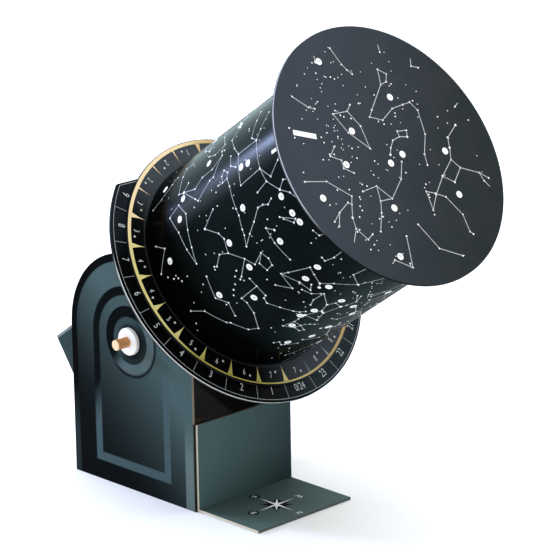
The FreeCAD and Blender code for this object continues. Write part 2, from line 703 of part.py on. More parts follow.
def make_lead(label, route):
    """A thin lead along straight runs joined by arcs, through points in the cradle frame."""
    points = [Vector(*(number(text) for text in point)) for point in route]
    edges = []
    start = points[0]
    for before, corner, after in zip(points, points[1:], points[2:]):
        arrive = (corner - before).normalize()
        leave = (after - corner).normalize()
        turn = arrive.getAngle(leave)
        shorter = min((corner - before).Length, (after - corner).Length)
        reach = BEND_SHARE * shorter
        bend = reach / math.tan(turn / 2)
        arc_start = corner - arrive * reach
        arc_end = corner + leave * reach
        to_centre = (leave - arrive).normalize()
        centre = corner + to_centre * math.hypot(bend, reach)
        arc_middle = centre - to_centre * bend
        edges.append(Part.LineSegment(start, arc_start).toShape())
        edges.append(Part.Arc(arc_start, arc_middle, arc_end).toShape())
        start = arc_end
    edges.append(Part.LineSegment(start, points[-1]).toShape())
    path = Part.Wire(edges)
    section = Part.Face(lead_section(points[0], points[1] - points[0]))
    lead = doc.addObject("Part::Feature", label)
    lead.Label = label
    lead.Shape = path.makePipe(section)
    seat(lead, "cradle")
    pieces.append(lead)


def lead_section(centre, along):
    """Return the outline of a lead's section, with LEAD_SIDES sides."""
    radius = number("lead_radius")
    spoke = along.cross(Vector(1, 0, 0)).normalize() * radius
    corners = []
    for i in range(LEAD_SIDES + 1):
        corners.append(centre + FreeCAD.Rotation(along, 360 * i / LEAD_SIDES).multVec(spoke))
    return Part.makePolygon(corners)


def make_leads():
    """Tray to switch, switch to lamp and tray to lamp, round the dowel and into the post's bore."""
    clear = f"{TRAY_FRONT} + board + lead_run"
    risen = f"{clear} + lead_rise"
    turn_in = f"{TUBE_BACK} - lead_run"
    lane = "2 * lead_radius"
    bore_end = f"{POST_TOP} - spigot_length"
    switch_near = "switch_place - switch_width / 2"
    switch_far = "switch_place + switch_width / 2"
    switch_middle = f"{INNER_TOP} - switch_depth / 2"
    red = [
        ("lead_spread", "0", TRAY_FRONT),
        ("lead_spread", "0", clear),
        ("lead_spread", f"{switch_middle} - dowel_radius", risen),
        ("lead_lane", switch_middle, f"{switch_near} - lead_run"),
        ("lead_lane", switch_middle, switch_near),
    ]
    link = [
        (lane, switch_middle, switch_far),
        (lane, switch_middle, f"{switch_far} + lead_run"),
        (lane, "axis_offset", turn_in),
        (lane, "axis_offset", bore_end),
    ]
    black = [
        ("-lead_spread", "0", TRAY_FRONT),
        ("-lead_spread", "0", clear),
        ("-lead_spread", "axis_offset", risen),
        (f"-({lane})", "axis_offset", turn_in),
        (f"-({lane})", "axis_offset", bore_end),
    ]
    make_lead("red_lead", red)
    make_lead("switch_lead", link)
    make_lead("black_lead", black)


make_stand()
make_box()
make_pivot()
make_hour_plate()
make_bearing()
make_lamp()
make_drum()
make_batteries()
make_switch()
make_leads()
doc.recompute()

for item in doc.Objects:
    if "Invalid" in item.State or "Error" in item.State:
        raise RuntimeError(f"{item.Label} failed: {item.State}")
os.makedirs("parts", exist_ok=True)
for piece in pieces:
    shape = piece.Shape
    if shape.isNull() or not shape.isValid() or not shape.Solids:
        raise RuntimeError(f"{piece.Label} has no sound shape")
    shape.exportStep(os.path.join("parts", f"{piece.Label}.step"))
    print(f"{piece.Label}: {len(shape.Solids)} solid(s), {shape.Volume / 1000:.2f} cm3")
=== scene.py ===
# The finish of a tabletop planetarium projector in printed board: its prints, foils, raw edges and
# materials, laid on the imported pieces. Everything is in metres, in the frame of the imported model.

import functools
import json
import math
import random

import bpy
from mathutils import Matrix, Vector


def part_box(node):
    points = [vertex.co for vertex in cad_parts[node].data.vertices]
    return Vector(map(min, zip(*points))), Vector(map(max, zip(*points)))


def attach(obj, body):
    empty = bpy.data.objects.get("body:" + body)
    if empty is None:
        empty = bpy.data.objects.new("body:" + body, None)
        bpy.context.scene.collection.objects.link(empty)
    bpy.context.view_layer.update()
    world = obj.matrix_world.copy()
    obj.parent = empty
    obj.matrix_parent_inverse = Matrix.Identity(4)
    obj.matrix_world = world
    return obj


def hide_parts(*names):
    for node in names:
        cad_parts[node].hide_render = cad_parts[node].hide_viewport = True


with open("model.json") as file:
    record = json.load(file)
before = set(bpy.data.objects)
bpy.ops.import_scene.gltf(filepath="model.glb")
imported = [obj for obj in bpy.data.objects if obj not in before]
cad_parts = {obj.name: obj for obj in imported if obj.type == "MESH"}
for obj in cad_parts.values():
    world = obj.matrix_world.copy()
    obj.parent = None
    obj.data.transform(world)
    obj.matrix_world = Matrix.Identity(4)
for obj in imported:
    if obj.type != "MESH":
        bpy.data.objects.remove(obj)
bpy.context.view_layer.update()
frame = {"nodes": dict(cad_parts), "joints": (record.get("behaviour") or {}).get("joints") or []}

MM = 0.001
INK_LIFT = 0.04 * MM  # how far a print lies in front of its board
SIDE_COSINE = 0.9  # a face belongs to a side when its normal is at least this close to the side's


# ---- places read from the frame


def joint(name):
    return next(item for item in frame["joints"] if item["name"] == name)


ACROSS = Vector((1, 0, 0))
FORWARD = Vector((0, -1, 0))
UPWARD = Vector((0, 0, 1))
POLAR = Vector(joint("drum_spin")["axis"]).normalized()
RISE = POLAR.cross(ACROSS)  # square to the polar axis, upwards
PIVOT = Vector(joint("latitude_tilt")["pos_m"])
HUB = Vector(joint("drum_spin")["pos_m"])
HUB -= POLAR * (HUB - PIVOT).dot(POLAR)  # the point of the polar axis level with the dowel


def polar_point(across, up, along):
    """A point given in the polar frame: across, up and along the polar axis."""
    return HUB + ACROSS * across + RISE * up + POLAR * along


def polar_span(node):
    """A node's rear, front and largest radius about the polar axis."""
    rests = [v.co - HUB for v in frame["nodes"][node].data.vertices]
    along = [rest.dot(POLAR) for rest in rests]
    radii = [(rest - POLAR * rest.dot(POLAR)).length for rest in rests]
    return min(along), max(along), max(radii)


_, HOUR_FRONT, HOUR_RADIUS = polar_span("hour_plate")
_, DATE_FRONT, DATE_RADIUS = polar_span("date_ring")
SHELL_REAR, SHELL_FRONT, SHELL_RADIUS = polar_span("drum_shell")
DISC_FRONT = polar_span("star_disc")[1]


def ring_point(radius, degrees, middle=(0, 0)):
    """A point at an angle on a circle, counter-clockwise from +X."""
    turn = math.radians(degrees)
    return middle[0] + radius * math.cos(turn), middle[1] + radius * math.sin(turn)


# ---- camera, floor and light

VIEW_ANGLES = (-44.195, 16.615, -0.846)  # azimuth, elevation and roll, in degrees
VIEW_TARGET = Vector((45.58, -63.16, 158.0)) * MM
VIEW_DISTANCE = 2248.6 * MM
VIEW_LENS = 192.86  # focal length in millimetres, for a 36 mm sensor
MIDDLE = (0, -0.08, 0.16)
LIGHTS = (  # name, place, width, height, power in watts, colour, and the aim if not MIDDLE
    ("overhead", (0.2, 0.1, 2.2), 3.2, 3.2, 75, (1, 1, 1), (0, 0, 0)),
    ("front_left", (-2.0, -1.6, 1.5), 1.2, 1.2, 16, (1, 0.98, 0.95)),
    ("front_right", (1.7, -1.3, 1.6), 1, 1, 16, (0.95, 0.98, 1)),
    ("rear_window", (-0.57, 1.64, 0.66), 0.3, 0.15, 34, (0.5, 0.62, 1)),
    ("rear_glow", (-0.62, 1.6, 0.52), 0.5, 0.5, 5, (0.75, 0.88, 1)),
    ("rear_panel", (0.55, 1.9, 0.5), 1.6, 0.8, 8, (0.68, 0.94, 1)),
)
SKY_COLOUR = (0.92, 0.96, 1, 1)
SKY_STRENGTH = 0.45
FLOOR_HALF = 6
FLOOR_DROP = 0.2 * MM  # how far the floor lies under the base


def add_object(name, data):
    thing = bpy.data.objects.new(name, data)
    bpy.context.scene.collection.objects.link(thing)
    return thing


def add_mesh(name, points, faces, *materials):
    mesh = bpy.data.meshes.new(name)
    mesh.from_pydata(points, [], faces)
    for material in materials:
        mesh.materials.append(material)
    return add_object(name, mesh)


def make_camera():
    """The camera at the object's three-quarter view from the front left."""
    azimuth, elevation, roll = map(math.radians, VIEW_ANGLES)
    camera = add_object("camera", bpy.data.cameras.new("camera"))
    camera.data.lens = VIEW_LENS
    level = Matrix.Translation(VIEW_TARGET) @ Matrix.Rotation(azimuth, 4, "Z")
    raised = level @ Matrix.Rotation(math.pi / 2 - elevation, 4, "X")
    rolled = raised @ Matrix.Rotation(roll, 4, "Z")
    camera.matrix_world = rolled @ Matrix.Translation((0, 0, VIEW_DISTANCE))
    bpy.context.scene.camera = camera


def area_light(name, place, width, height, power, colour, aim=MIDDLE):
    """A soft box that lights the object and is seen only in its gloss."""
    light = bpy.data.lights.new(name, "AREA")
    light.shape = "RECTANGLE"
    light.size = width
    light.size_y = height
    light.energy = power
    light.color = colour
    lamp = add_object(name, light)
    lamp.location = place
    lamp.rotation_euler = (Vector(aim) - lamp.location).to_track_quat("-Z", "Y").to_euler()
    lamp.visible_camera = False


def make_studio():
    """A pale floor under soft light from above, behind and the sides."""
    world = bpy.data.worlds.new("studio")
    world.use_nodes = True
    sky = world.node_tree.nodes["Background"].inputs
    sky["Color"].default_value = SKY_COLOUR
    sky["Strength"].default_value = SKY_STRENGTH
    bpy.context.scene.world = world
    bpy.context.scene.view_settings.view_transform = "Standard"
    for light in LIGHTS:
        area_light(*light)
    paint = Finish("floor_paper", 0.85)
    paint.colour(paint.mix(paint.noise(3.0, 2), (0.9, 0.9, 0.9), (0.93, 0.93, 0.93)))
    corners = [(x * FLOOR_HALF, y * FLOOR_HALF, 0) for x, y in ((-1, -1), (1, -1), (1, 1), (-1, 1))]
    ground = add_mesh("floor", corners, [(0, 1, 2, 3)], paint.material)
    ground.location.z = -FLOOR_DROP
    ground.visible_glossy = False


# ---- materials


def srgb(code):
    """A linear colour from a hexadecimal one."""
    parts = [int(code[i : i + 2], 16) / 255 for i in (1, 3, 5)]
    return tuple(c / 12.92 if c <= 0.04045 else ((c + 0.055) / 1.055) ** 2.4 for c in parts)


class Finish:
    """A material built from nodes around one Principled shader."""

    def __init__(self, name, roughness=0.5, metallic=0, ior=1.45, specular=0.5):
        self.material = bpy.data.materials.new(name)
        self.material.use_nodes = True
        self.nodes = self.material.node_tree.nodes
        self.shader = self.nodes["Principled BSDF"].inputs
        names = ("Roughness", "Metallic", "IOR", "Specular IOR Level")
        for name, value in zip(names, (roughness, metallic, ior, specular)):
            self.shader[name].default_value = value
        self.place = self.nodes.new("ShaderNodeTexCoord").outputs["Object"]

    def feed(self, socket, value):
        """Link a node's output to a socket, or set it to a number or a colour."""
        if isinstance(value, bpy.types.NodeSocket):
            self.material.node_tree.links.new(value, socket)
        elif socket.type == "RGBA":
            socket.default_value = (*(srgb(value) if isinstance(value, str) else value), 1)
        else:
            socket.default_value = value

    def node(self, kind, *values, **settings):
        """A new node with its first inputs and its settings."""
        node = self.nodes.new("ShaderNode" + kind)
        for name, value in settings.items():
            setattr(node, name, value)
        for socket, value in zip(node.inputs, values):
            self.feed(socket, value)
        return node

    def calc(self, operation, *values):
        return self.node("Math", *values, operation=operation).outputs[0]

    def plus(self, *values):
        return functools.reduce(lambda a, b: self.calc("ADD", a, b), values)

    def minus(self, first, second):
        return self.calc("SUBTRACT", first, second)

    def times(self, *values):
        return functools.reduce(lambda a, b: self.calc("MULTIPLY", a, b), values)

    def axes(self):
        """The three coordinates of a point."""
        return self.node("SeparateXYZ", self.place).outputs

    def along(self, degrees):
        """How far a point lies from the polar axis in one direction."""
        across, up = ring_point(1, degrees)
        return self.reach(ACROSS * across + RISE * up)

    def reach(self, way):
        """How far a point lies from the hub in one direction."""
        node = self.node("VectorMath", self.place, way, operation="DOT_PRODUCT")
        return self.minus(node.outputs["Value"], HUB.dot(way))

    def stretched(self, scale):
        """The place, scaled along each axis."""
        node = self.node("Mapping", self.place)
        node.inputs["Scale"].default_value = scale
        return node.outputs[0]

    def noise(self, scale, detail=4, vector=None):
        node = self.node("TexNoise", vector or self.place)
        for name, value in (("Scale", scale), ("Detail", detail), ("Roughness", 0.55)):
            node.inputs[name].default_value = value
        return node.outputs["Fac"]

    def cloud(self, scale, amount):
        """A soft noise about zero."""
        return self.times(self.minus(self.noise(scale, 3), 0.5), amount)

    def ramp(self, value, low, high, to_low=0, to_high=1):
        """A value moved smoothly from one range to another."""
        ranges = (value, low, high, to_low, to_high)
        return self.node("MapRange", *ranges, interpolation_type="SMOOTHSTEP").outputs[0]

    def eased(self, value, low, high):
        """A share for mixing dark tones, so that their change looks even."""
        return self.calc("POWER", self.node("MapRange", value, low, high).outputs[0], 2.1)

    def band(self, value, low, high, blur):
        """1 between two limits, with soft edges, and 0 elsewhere."""
        rise = self.ramp(value, low - blur, low + blur)
        fall = self.ramp(value, high - blur, high + blur)
        return self.minus(rise, fall)

    def mix(self, share, first, second):
        """The first colour where the share is 0, and the second where it is 1."""
        node = self.node("Mix", share, data_type="RGBA")
        colour_inputs = [socket for socket in node.inputs if socket.type == "RGBA"]
        for socket, value in zip(colour_inputs, (first, second)):
            self.feed(socket, value)
        return next(socket for socket in node.outputs if socket.type == "RGBA")

    def colour(self, value):
        self.feed(self.shader["Base Color"], value)

    def roughness(self, value):
        self.feed(self.shader["Roughness"], value)

    def patchy(self, scale, detail, low, high):
        """Roughness that drifts between two values."""
        self.roughness(self.ramp(self.noise(scale, detail), 0.3, 0.7, low, high))

    def bump(self, height, strength, depth):
        node = self.node("Bump")
        for name, value in (("Strength", strength), ("Distance", depth), ("Height", height)):
            self.feed(node.inputs[name], value)
        self.feed(self.shader["Normal"], node.outputs[0])

    def paper(self, scale, low, high, strength):
        """Uneven gloss, and the faint orange peel of laminated paper on board."""
        self.patchy(scale, 4, low, high)
        peel = self.plus(self.noise(900, 3), self.times(self.noise(60, 2), 1.5))
        self.bump(peel, strength, 0.02 * MM)


def slate_print(name, low, high, climb=(0, 0, 0), lift=0.5):
    """Slate printed paper, scuffed, whose tone climbs by so much a metre along each axis."""
    look = Finish(name, specular=0.04)
    x, y, z = (look.times(axis, rise) for axis, rise in zip(look.axes(), climb))
    drift = look.plus(x, z, y, lift, look.cloud(14, 0.2))
    tone = look.mix(look.ramp(drift, 0, 1), low, high)
    scuff = look.ramp(look.noise(220, 6), 0.68, 0.8, 0, 0.16)
    look.colour(look.mix(scuff, tone, "#66757a"))
    look.paper(35, 0.45, 0.6, 0.12)
    return look.material


def wall_print():
    """The walls' print: a black outline, an arch frame and a dial round the dowel."""
    look = Finish("wall_print", specular=0.04)
    _, y, z = look.axes()
    above = look.minus(z, PIVOT.z)
    square_y = look.calc("POWER", y, 2)
    radius, reach = (
        look.calc("SQRT", look.plus(square_y, look.calc("POWER", rise, 2)))
        for rise in (above, look.calc("MAXIMUM", above, 0))
    )
    # a bevel is dark towards the rear and the top, and light on the opposite side
    lean = look.plus(look.times(y, 0.8), look.times(above, 0.6))
    tone = wall_frame(look, y, z, reach, lean)
    tone = wall_dial(look, tone, radius, lean)
    look.colour(wall_outline(look, tone, y, z, reach))
    look.paper(35, 0.45, 0.6, 0.12)
    return look.material


def wall_frame(look, y, z, reach, lean):
    """The walls' ground, lighter to the top and the front, and the arch frame."""
    half, inner, foot, blur = 42 * MM, 35 * MM, 15.3 * MM, 0.4 * MM
    in_frame = look.calc("MAXIMUM", reach, look.minus(half + foot, z))
    drift = look.plus(look.times(z, 7.5), look.times(y, -7), look.cloud(16, 0.12))
    tone = look.mix(look.eased(drift, -0.05, 0.95), "#060b0d", "#425556")
    inner_tone = look.mix(look.eased(drift, -0.2, 0.95), "#0a1112", "#3b4d4e")
    tone = look.mix(look.ramp(in_frame, inner + blur, inner - blur), tone, inner_tone)
    dark = look.ramp(lean, -14 * MM, 9 * MM)
    return bevel(look, tone, in_frame, (inner, half), dark, "#3e5053")


def wall_dial(look, tone, radius, lean):
    """The dial round the dowel: a disc, its bevel and the shadows."""
    inner, outer = 18.4 * MM, 27 * MM
    tone = look.mix(look.ramp(radius, 19 * MM, 18 * MM), tone, "#2f4042")
    dark = look.ramp(lean, -8 * MM, 8 * MM)
    tone = bevel(look, tone, radius, (inner, outer), dark, "#4a5a5c")
    low_side = look.ramp(lean, 8 * MM, -6 * MM)
    for low, high, share in ((26.2 * MM, 28.8 * MM, 0.85), (12 * MM, 18.2 * MM, 0.7)):
        shadow = look.times(look.band(radius, low, high, 0.9 * MM), low_side, share)
        tone = look.mix(shadow, tone, "#04080a")
    washer_shadow = look.times(look.ramp(radius, 15 * MM, 11 * MM), 0.8)
    return look.mix(washer_shadow, tone, "#05090a")


def wall_outline(look, tone, y, z, reach):
    """A light strip low at the front edge, and a black outline that fades there."""
    wall_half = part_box("side_wall_left")[1].y
    strip = look.ramp(y, -wall_half + 9.5 * MM, -wall_half + 8 * MM)
    strip = look.times(strip, 0.85, look.ramp(z, 75 * MM, 35 * MM))
    tone = look.mix(strip, tone, "#61706f")
    outline = look.ramp(reach, wall_half - 7 * MM, wall_half - 5.4 * MM)
    outline = look.times(outline, look.ramp(y, -58 * MM, -35 * MM))
    outline_tone = look.mix(look.ramp(z, 30 * MM, 75 * MM), "#1f2b2c", "#010304")
    return look.mix(outline, tone, outline_tone)


def bevel(look, tone, distance, limits, dark, light):
    """A printed bevel: light, and near black where it is turned away."""
    face = look.mix(dark, light, "#03080a")
    return look.mix(look.band(distance, *limits, 0.5 * MM), tone, face)


def raw_edge(name, light, dark):
    """The cut edge of grey board: pressed layers of fibre, a little fuzzy."""
    look = Finish(name, 0.9, specular=0.1)
    fibres = look.noise(420, 6)
    share = look.times(look.plus(look.noise(1500, 2), fibres), 0.55)
    look.colour(look.mix(share, dark, light))
    look.bump(fibres, 0.5, 0.06 * MM)
    return look.material


def graded_edge(name, tones, degrees, limits, front):
    """A dial's cut edge: lighter to one side as painted light and shade, and darker towards the rear.
    """
    look = Finish(name, 0.85, specular=0.05)
    # painted light and shade: the edge is lighter towards one side of the dial
    painted_shading = look.plus(look.along(degrees), look.times(look.noise(120), 6 * MM))
    tone = look.mix(look.ramp(painted_shading, *limits), *tones)
    dark_rear = look.ramp(look.reach(POLAR), front - 1.2 * MM, front - 0.6 * MM, 0.85, 0)
    look.colour(look.mix(dark_rear, tone, "#0c0e0f"))
    look.bump(look.noise(420, 6), 0.4, 0.05 * MM)
    return look.material


def board_back(name="board_back", low="#1f1a13", high="#342d24"):
    """The unprinted inner side: dark grey-brown board with flecks."""
    look = Finish(name, 0.9, specular=0.1)
    tone = look.mix(look.noise(120, 6), low, high)
    flecks = look.ramp(look.noise(900, 3), 0.68, 0.74, 0, 0.35)
    look.colour(look.mix(flecks, tone, "#6b5f50"))
    look.bump(look.noise(700), 0.35, 0.04 * MM)
    return look.material


def dial_print(name, near, far, top=None, way=200, limits=(20 * MM, 66 * MM)):
    """A dial's printed paper, with painted light and shade: its tone changes to one side, and at the
    top left.
    """
    look = Finish(name, specular=0.04)
    # painted light and shade: the flat face's tone changes towards one side, and at the top left
    side = look.plus(look.along(way), look.times(look.noise(18), 12 * MM))
    tone = look.mix(look.ramp(side, *limits), far, near)
    if top:
        tone = look.mix(look.ramp(look.along(115), 62 * MM, 88 * MM), tone, top)
    specks = look.ramp(look.noise(1400, 2), 0.76, 0.82, 0, 0.1)
    look.colour(look.mix(specks, tone, "#8a8f90"))
    look.paper(45, 0.4, 0.55, 0.1)
    return look.material


def film_gloss():
    """The drum's laminated black film in patchy dark grey, with painted reflection: darker at the
    rear, teal below.
    """
    look = Finish("film_gloss", specular=0.02)
    # painted reflection: the film stays near black by the dark date ring at the rear
    clear = look.ramp(look.reach(POLAR), SHELL_REAR + 15 * MM, SHELL_REAR + 75 * MM)
    # painted reflection: a lighter teal at the drum's lower side
    painted_reflection = look.times(clear, look.ramp(look.along(262), 68 * MM, 84 * MM))
    grey = look.times(clear, look.ramp(look.noise(14, 3), 0.3, 0.6, 0.5, 1))
    look.colour(look.mix(painted_reflection, look.mix(grey, "#020303", "#0d1515"), "#1e2b2b"))
    look.roughness(look.plus(look.ramp(look.noise(90, 5), 0.55, 0.75, 0, 0.08), 0.2))
    ripple = look.noise(9, 2, look.stretched((1, 0.6, 0.6)))
    look.bump(look.plus(look.times(ripple, 6), look.noise(500, 2)), 0.12, 0.05 * MM)
    return look.material


def ink(name, light, dark):
    """Opaque printing ink, with small thin places."""
    look = Finish(name, specular=0.06)
    look.colour(look.mix(look.ramp(look.noise(800), 0.35, 0.7), dark, light))
    look.patchy(300, 3, 0.39, 0.51)
    return look.material


def gold_print():
    """Gold ink, with painted sheen and reflection: dull at the right of the dial, olive at its lower
    left, cream at its top left.
    """
    look = Finish("gold_print", 0.45, specular=0.1)
    # painted sheen and reflection: the flat ring's gold changes tone by where it lies
    tone = look.mix(look.ramp(look.along(190), -50 * MM, 70 * MM), "#ba9c68", "#d3ca84")
    tone = look.mix(look.ramp(look.along(235), 78 * MM, 94 * MM), tone, "#a9a050")
    tone = look.mix(look.ramp(look.along(122), 66 * MM, 92 * MM), tone, "#ead3a8")
    dull = look.ramp(look.noise(500), 0.5, 0.8, 0, 0.2)
    look.colour(look.mix(dull, tone, "#8f8350"))
    look.bump(look.noise(900, 2), 0.1, 0.01 * MM)
    return look.material


def wood(name, side, ring):
    """Birch dowel, its grain drawn out along the rod."""
    look = Finish(name, 0.62, specular=0.3)
    grain = look.noise(700, 5, look.stretched((0.05, 1, 1)))
    rings = look.noise(180, 3, look.stretched((0.12, 1, 1)))
    share = look.times(look.plus(grain, rings), 0.5)
    look.colour(look.mix(look.ramp(share, 0.3, 0.7), ring, side))
    look.bump(grain, 0.4, 0.05 * MM)
    return look.material


def moulded(name, colour, roughness=0.35, shift=0.9):
    """Moulded plastic with a fine texture and a slightly uneven tone."""
    look = Finish(name, ior=1.46, specular=0.4)
    darker = tuple(c * shift for c in srgb(colour))
    look.colour(look.mix(look.noise(60, 3), darker, colour))
    look.patchy(400, 3, roughness - 0.05, roughness + 0.07)
    look.bump(look.noise(1200, 2), 0.12, 0.01 * MM)
    return look.material


def metal(name, colour, roughness=0.25):
    """Drawn or rolled metal with fine scratches."""
    look = Finish(name, metallic=1.0)
    tarnish = tuple(c * 0.7 for c in srgb(colour))
    look.colour(look.mix(look.ramp(look.noise(150, 5), 0.4, 0.75), colour, tarnish))
    look.patchy(600, 4, roughness - 0.08, roughness + 0.1)
    look.bump(look.noise(1500, 2, look.stretched((0.1, 1, 1))), 0.15, 0.01 * MM)
    return look.material


def clear_glass():
    look = Finish("clear_glass", 0.03, ior=1.5)
    look.shader["Transmission Weight"].default_value = 1.0
    look.colour(look.mix(look.noise(100, 2), (0.95, 0.97, 0.96), (1, 1, 1)))
    look.bump(look.noise(250, 2), 0.05, 0.02 * MM)
    return look.material


# ---- prints


def walk(start, end, count):
    """The points that cut a line into equal parts, with its ends."""
    (u0, v0), (u1, v1) = start, end
    return [(u0 + (u1 - u0) * i / count, v0 + (v1 - v0) * i / count) for i in range(count + 1)]


class Print:
    """A layer of ink: flat polygons in two directions, laid on a surface."""

    def __init__(self, name, place):
        self.name = name
        self.place = place
        self.points = []
        self.faces = []

    def polygon(self, corners):
        start = len(self.points)
        self.points += [self.place(u, v) for u, v in corners]
        self.faces.append(tuple(range(start, len(self.points))))

    def dot(self, u, v, radius, sides=10):
        """A round dot, as a fan so that it follows a curved surface."""
        rim = [ring_point(radius, 360 * i / sides, (u, v)) for i in range(sides)]
        for i in range(sides):
            self.polygon([(u, v), rim[i], rim[(i + 1) % sides]])

    def line(self, start, end, width, step=4 * MM):
        """A straight line of ink, cut into short lengths."""
        (u0, v0), (u1, v1) = start, end
        length = math.dist(start, end)
        if length < 0.05 * MM:
            return
        side_u, side_v = -(v1 - v0) / length * width / 2, (u1 - u0) / length * width / 2
        cuts = walk(start, end, math.ceil(length / step))
        for (ua, va), (ub, vb) in zip(cuts, cuts[1:]):
            left = [(ua - side_u, va - side_v), (ub - side_u, vb - side_v)]
            right = [(ub + side_u, vb + side_v), (ua + side_u, va + side_v)]
            self.polygon(left + right)

    def arc(self, radius, width, start=0, end=360, middle=(0, 0)):
        """Part of a ring; angles in degrees, counter-clockwise."""
        count = max(24, math.ceil((end - start) / 2))
        inner, outer = radius - width / 2, radius + width / 2
        angles = [start + (end - start) * i / count for i in range(count + 1)]
        for a, b in zip(angles, angles[1:]):
            corners = ((inner, a), (outer, a), (outer, b), (inner, b))
            self.polygon([ring_point(reach, turn, middle) for reach, turn in corners])

    def text(self, words, u, v, height, turn, narrow=1, thin=0):
        """Plain characters, centred on a point and turned by degrees."""
        c, s = ring_point(height, turn)
        for face in glyphs(words, thin):
            spots = [(x * narrow, y) for x, y in face]
            self.polygon([(u + x * c - y * s, v + x * s + y * c) for x, y in spots])

    def finish(self, body, material, slot):
        """Make the piece, which rides on a body."""
        piece = add_mesh(self.name, self.points, self.faces, material)
        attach(piece, body)


@functools.cache
def glyphs(words, thin):
    """The faces of some characters, one unit high and centred on the origin."""
    curve = bpy.data.curves.new("glyph", "FONT")
    curve.body = words
    curve.align_x = "CENTER"
    curve.offset = -thin
    curve.resolution_u = 3
    holder = add_object("glyph", curve)
    bpy.context.view_layer.update()
    mesh = bpy.data.meshes.new_from_object(holder)
    top = max(v.co.y for v in mesh.vertices)
    spots = [(v.co.x / top, v.co.y / top - 0.5) for v in mesh.vertices]
    faces = [[spots[i] for i in polygon.vertices] for polygon in mesh.polygons]
    bpy.data.objects.remove(holder)
    bpy.data.meshes.remove(mesh)
    return faces


def on_plane(along):
    """A place function for a plane square to the polar axis."""
    return lambda u, v: polar_point(u, v, along + INK_LIFT)


def on_shell(u, v):
    """The shell's outside: u runs round it, counter-clockwise from +X, and v along its axis."""
    across, up = ring_point(SHELL_RADIUS + INK_LIFT, math.degrees(u / SHELL_RADIUS))
    return polar_point(across, up, v)


def on_base(u, v):
    """The base's top, with u to the right and v to the rear."""
    return Vector((u, v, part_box("base_plate")[1].z + INK_LIFT))


# ---- the sky

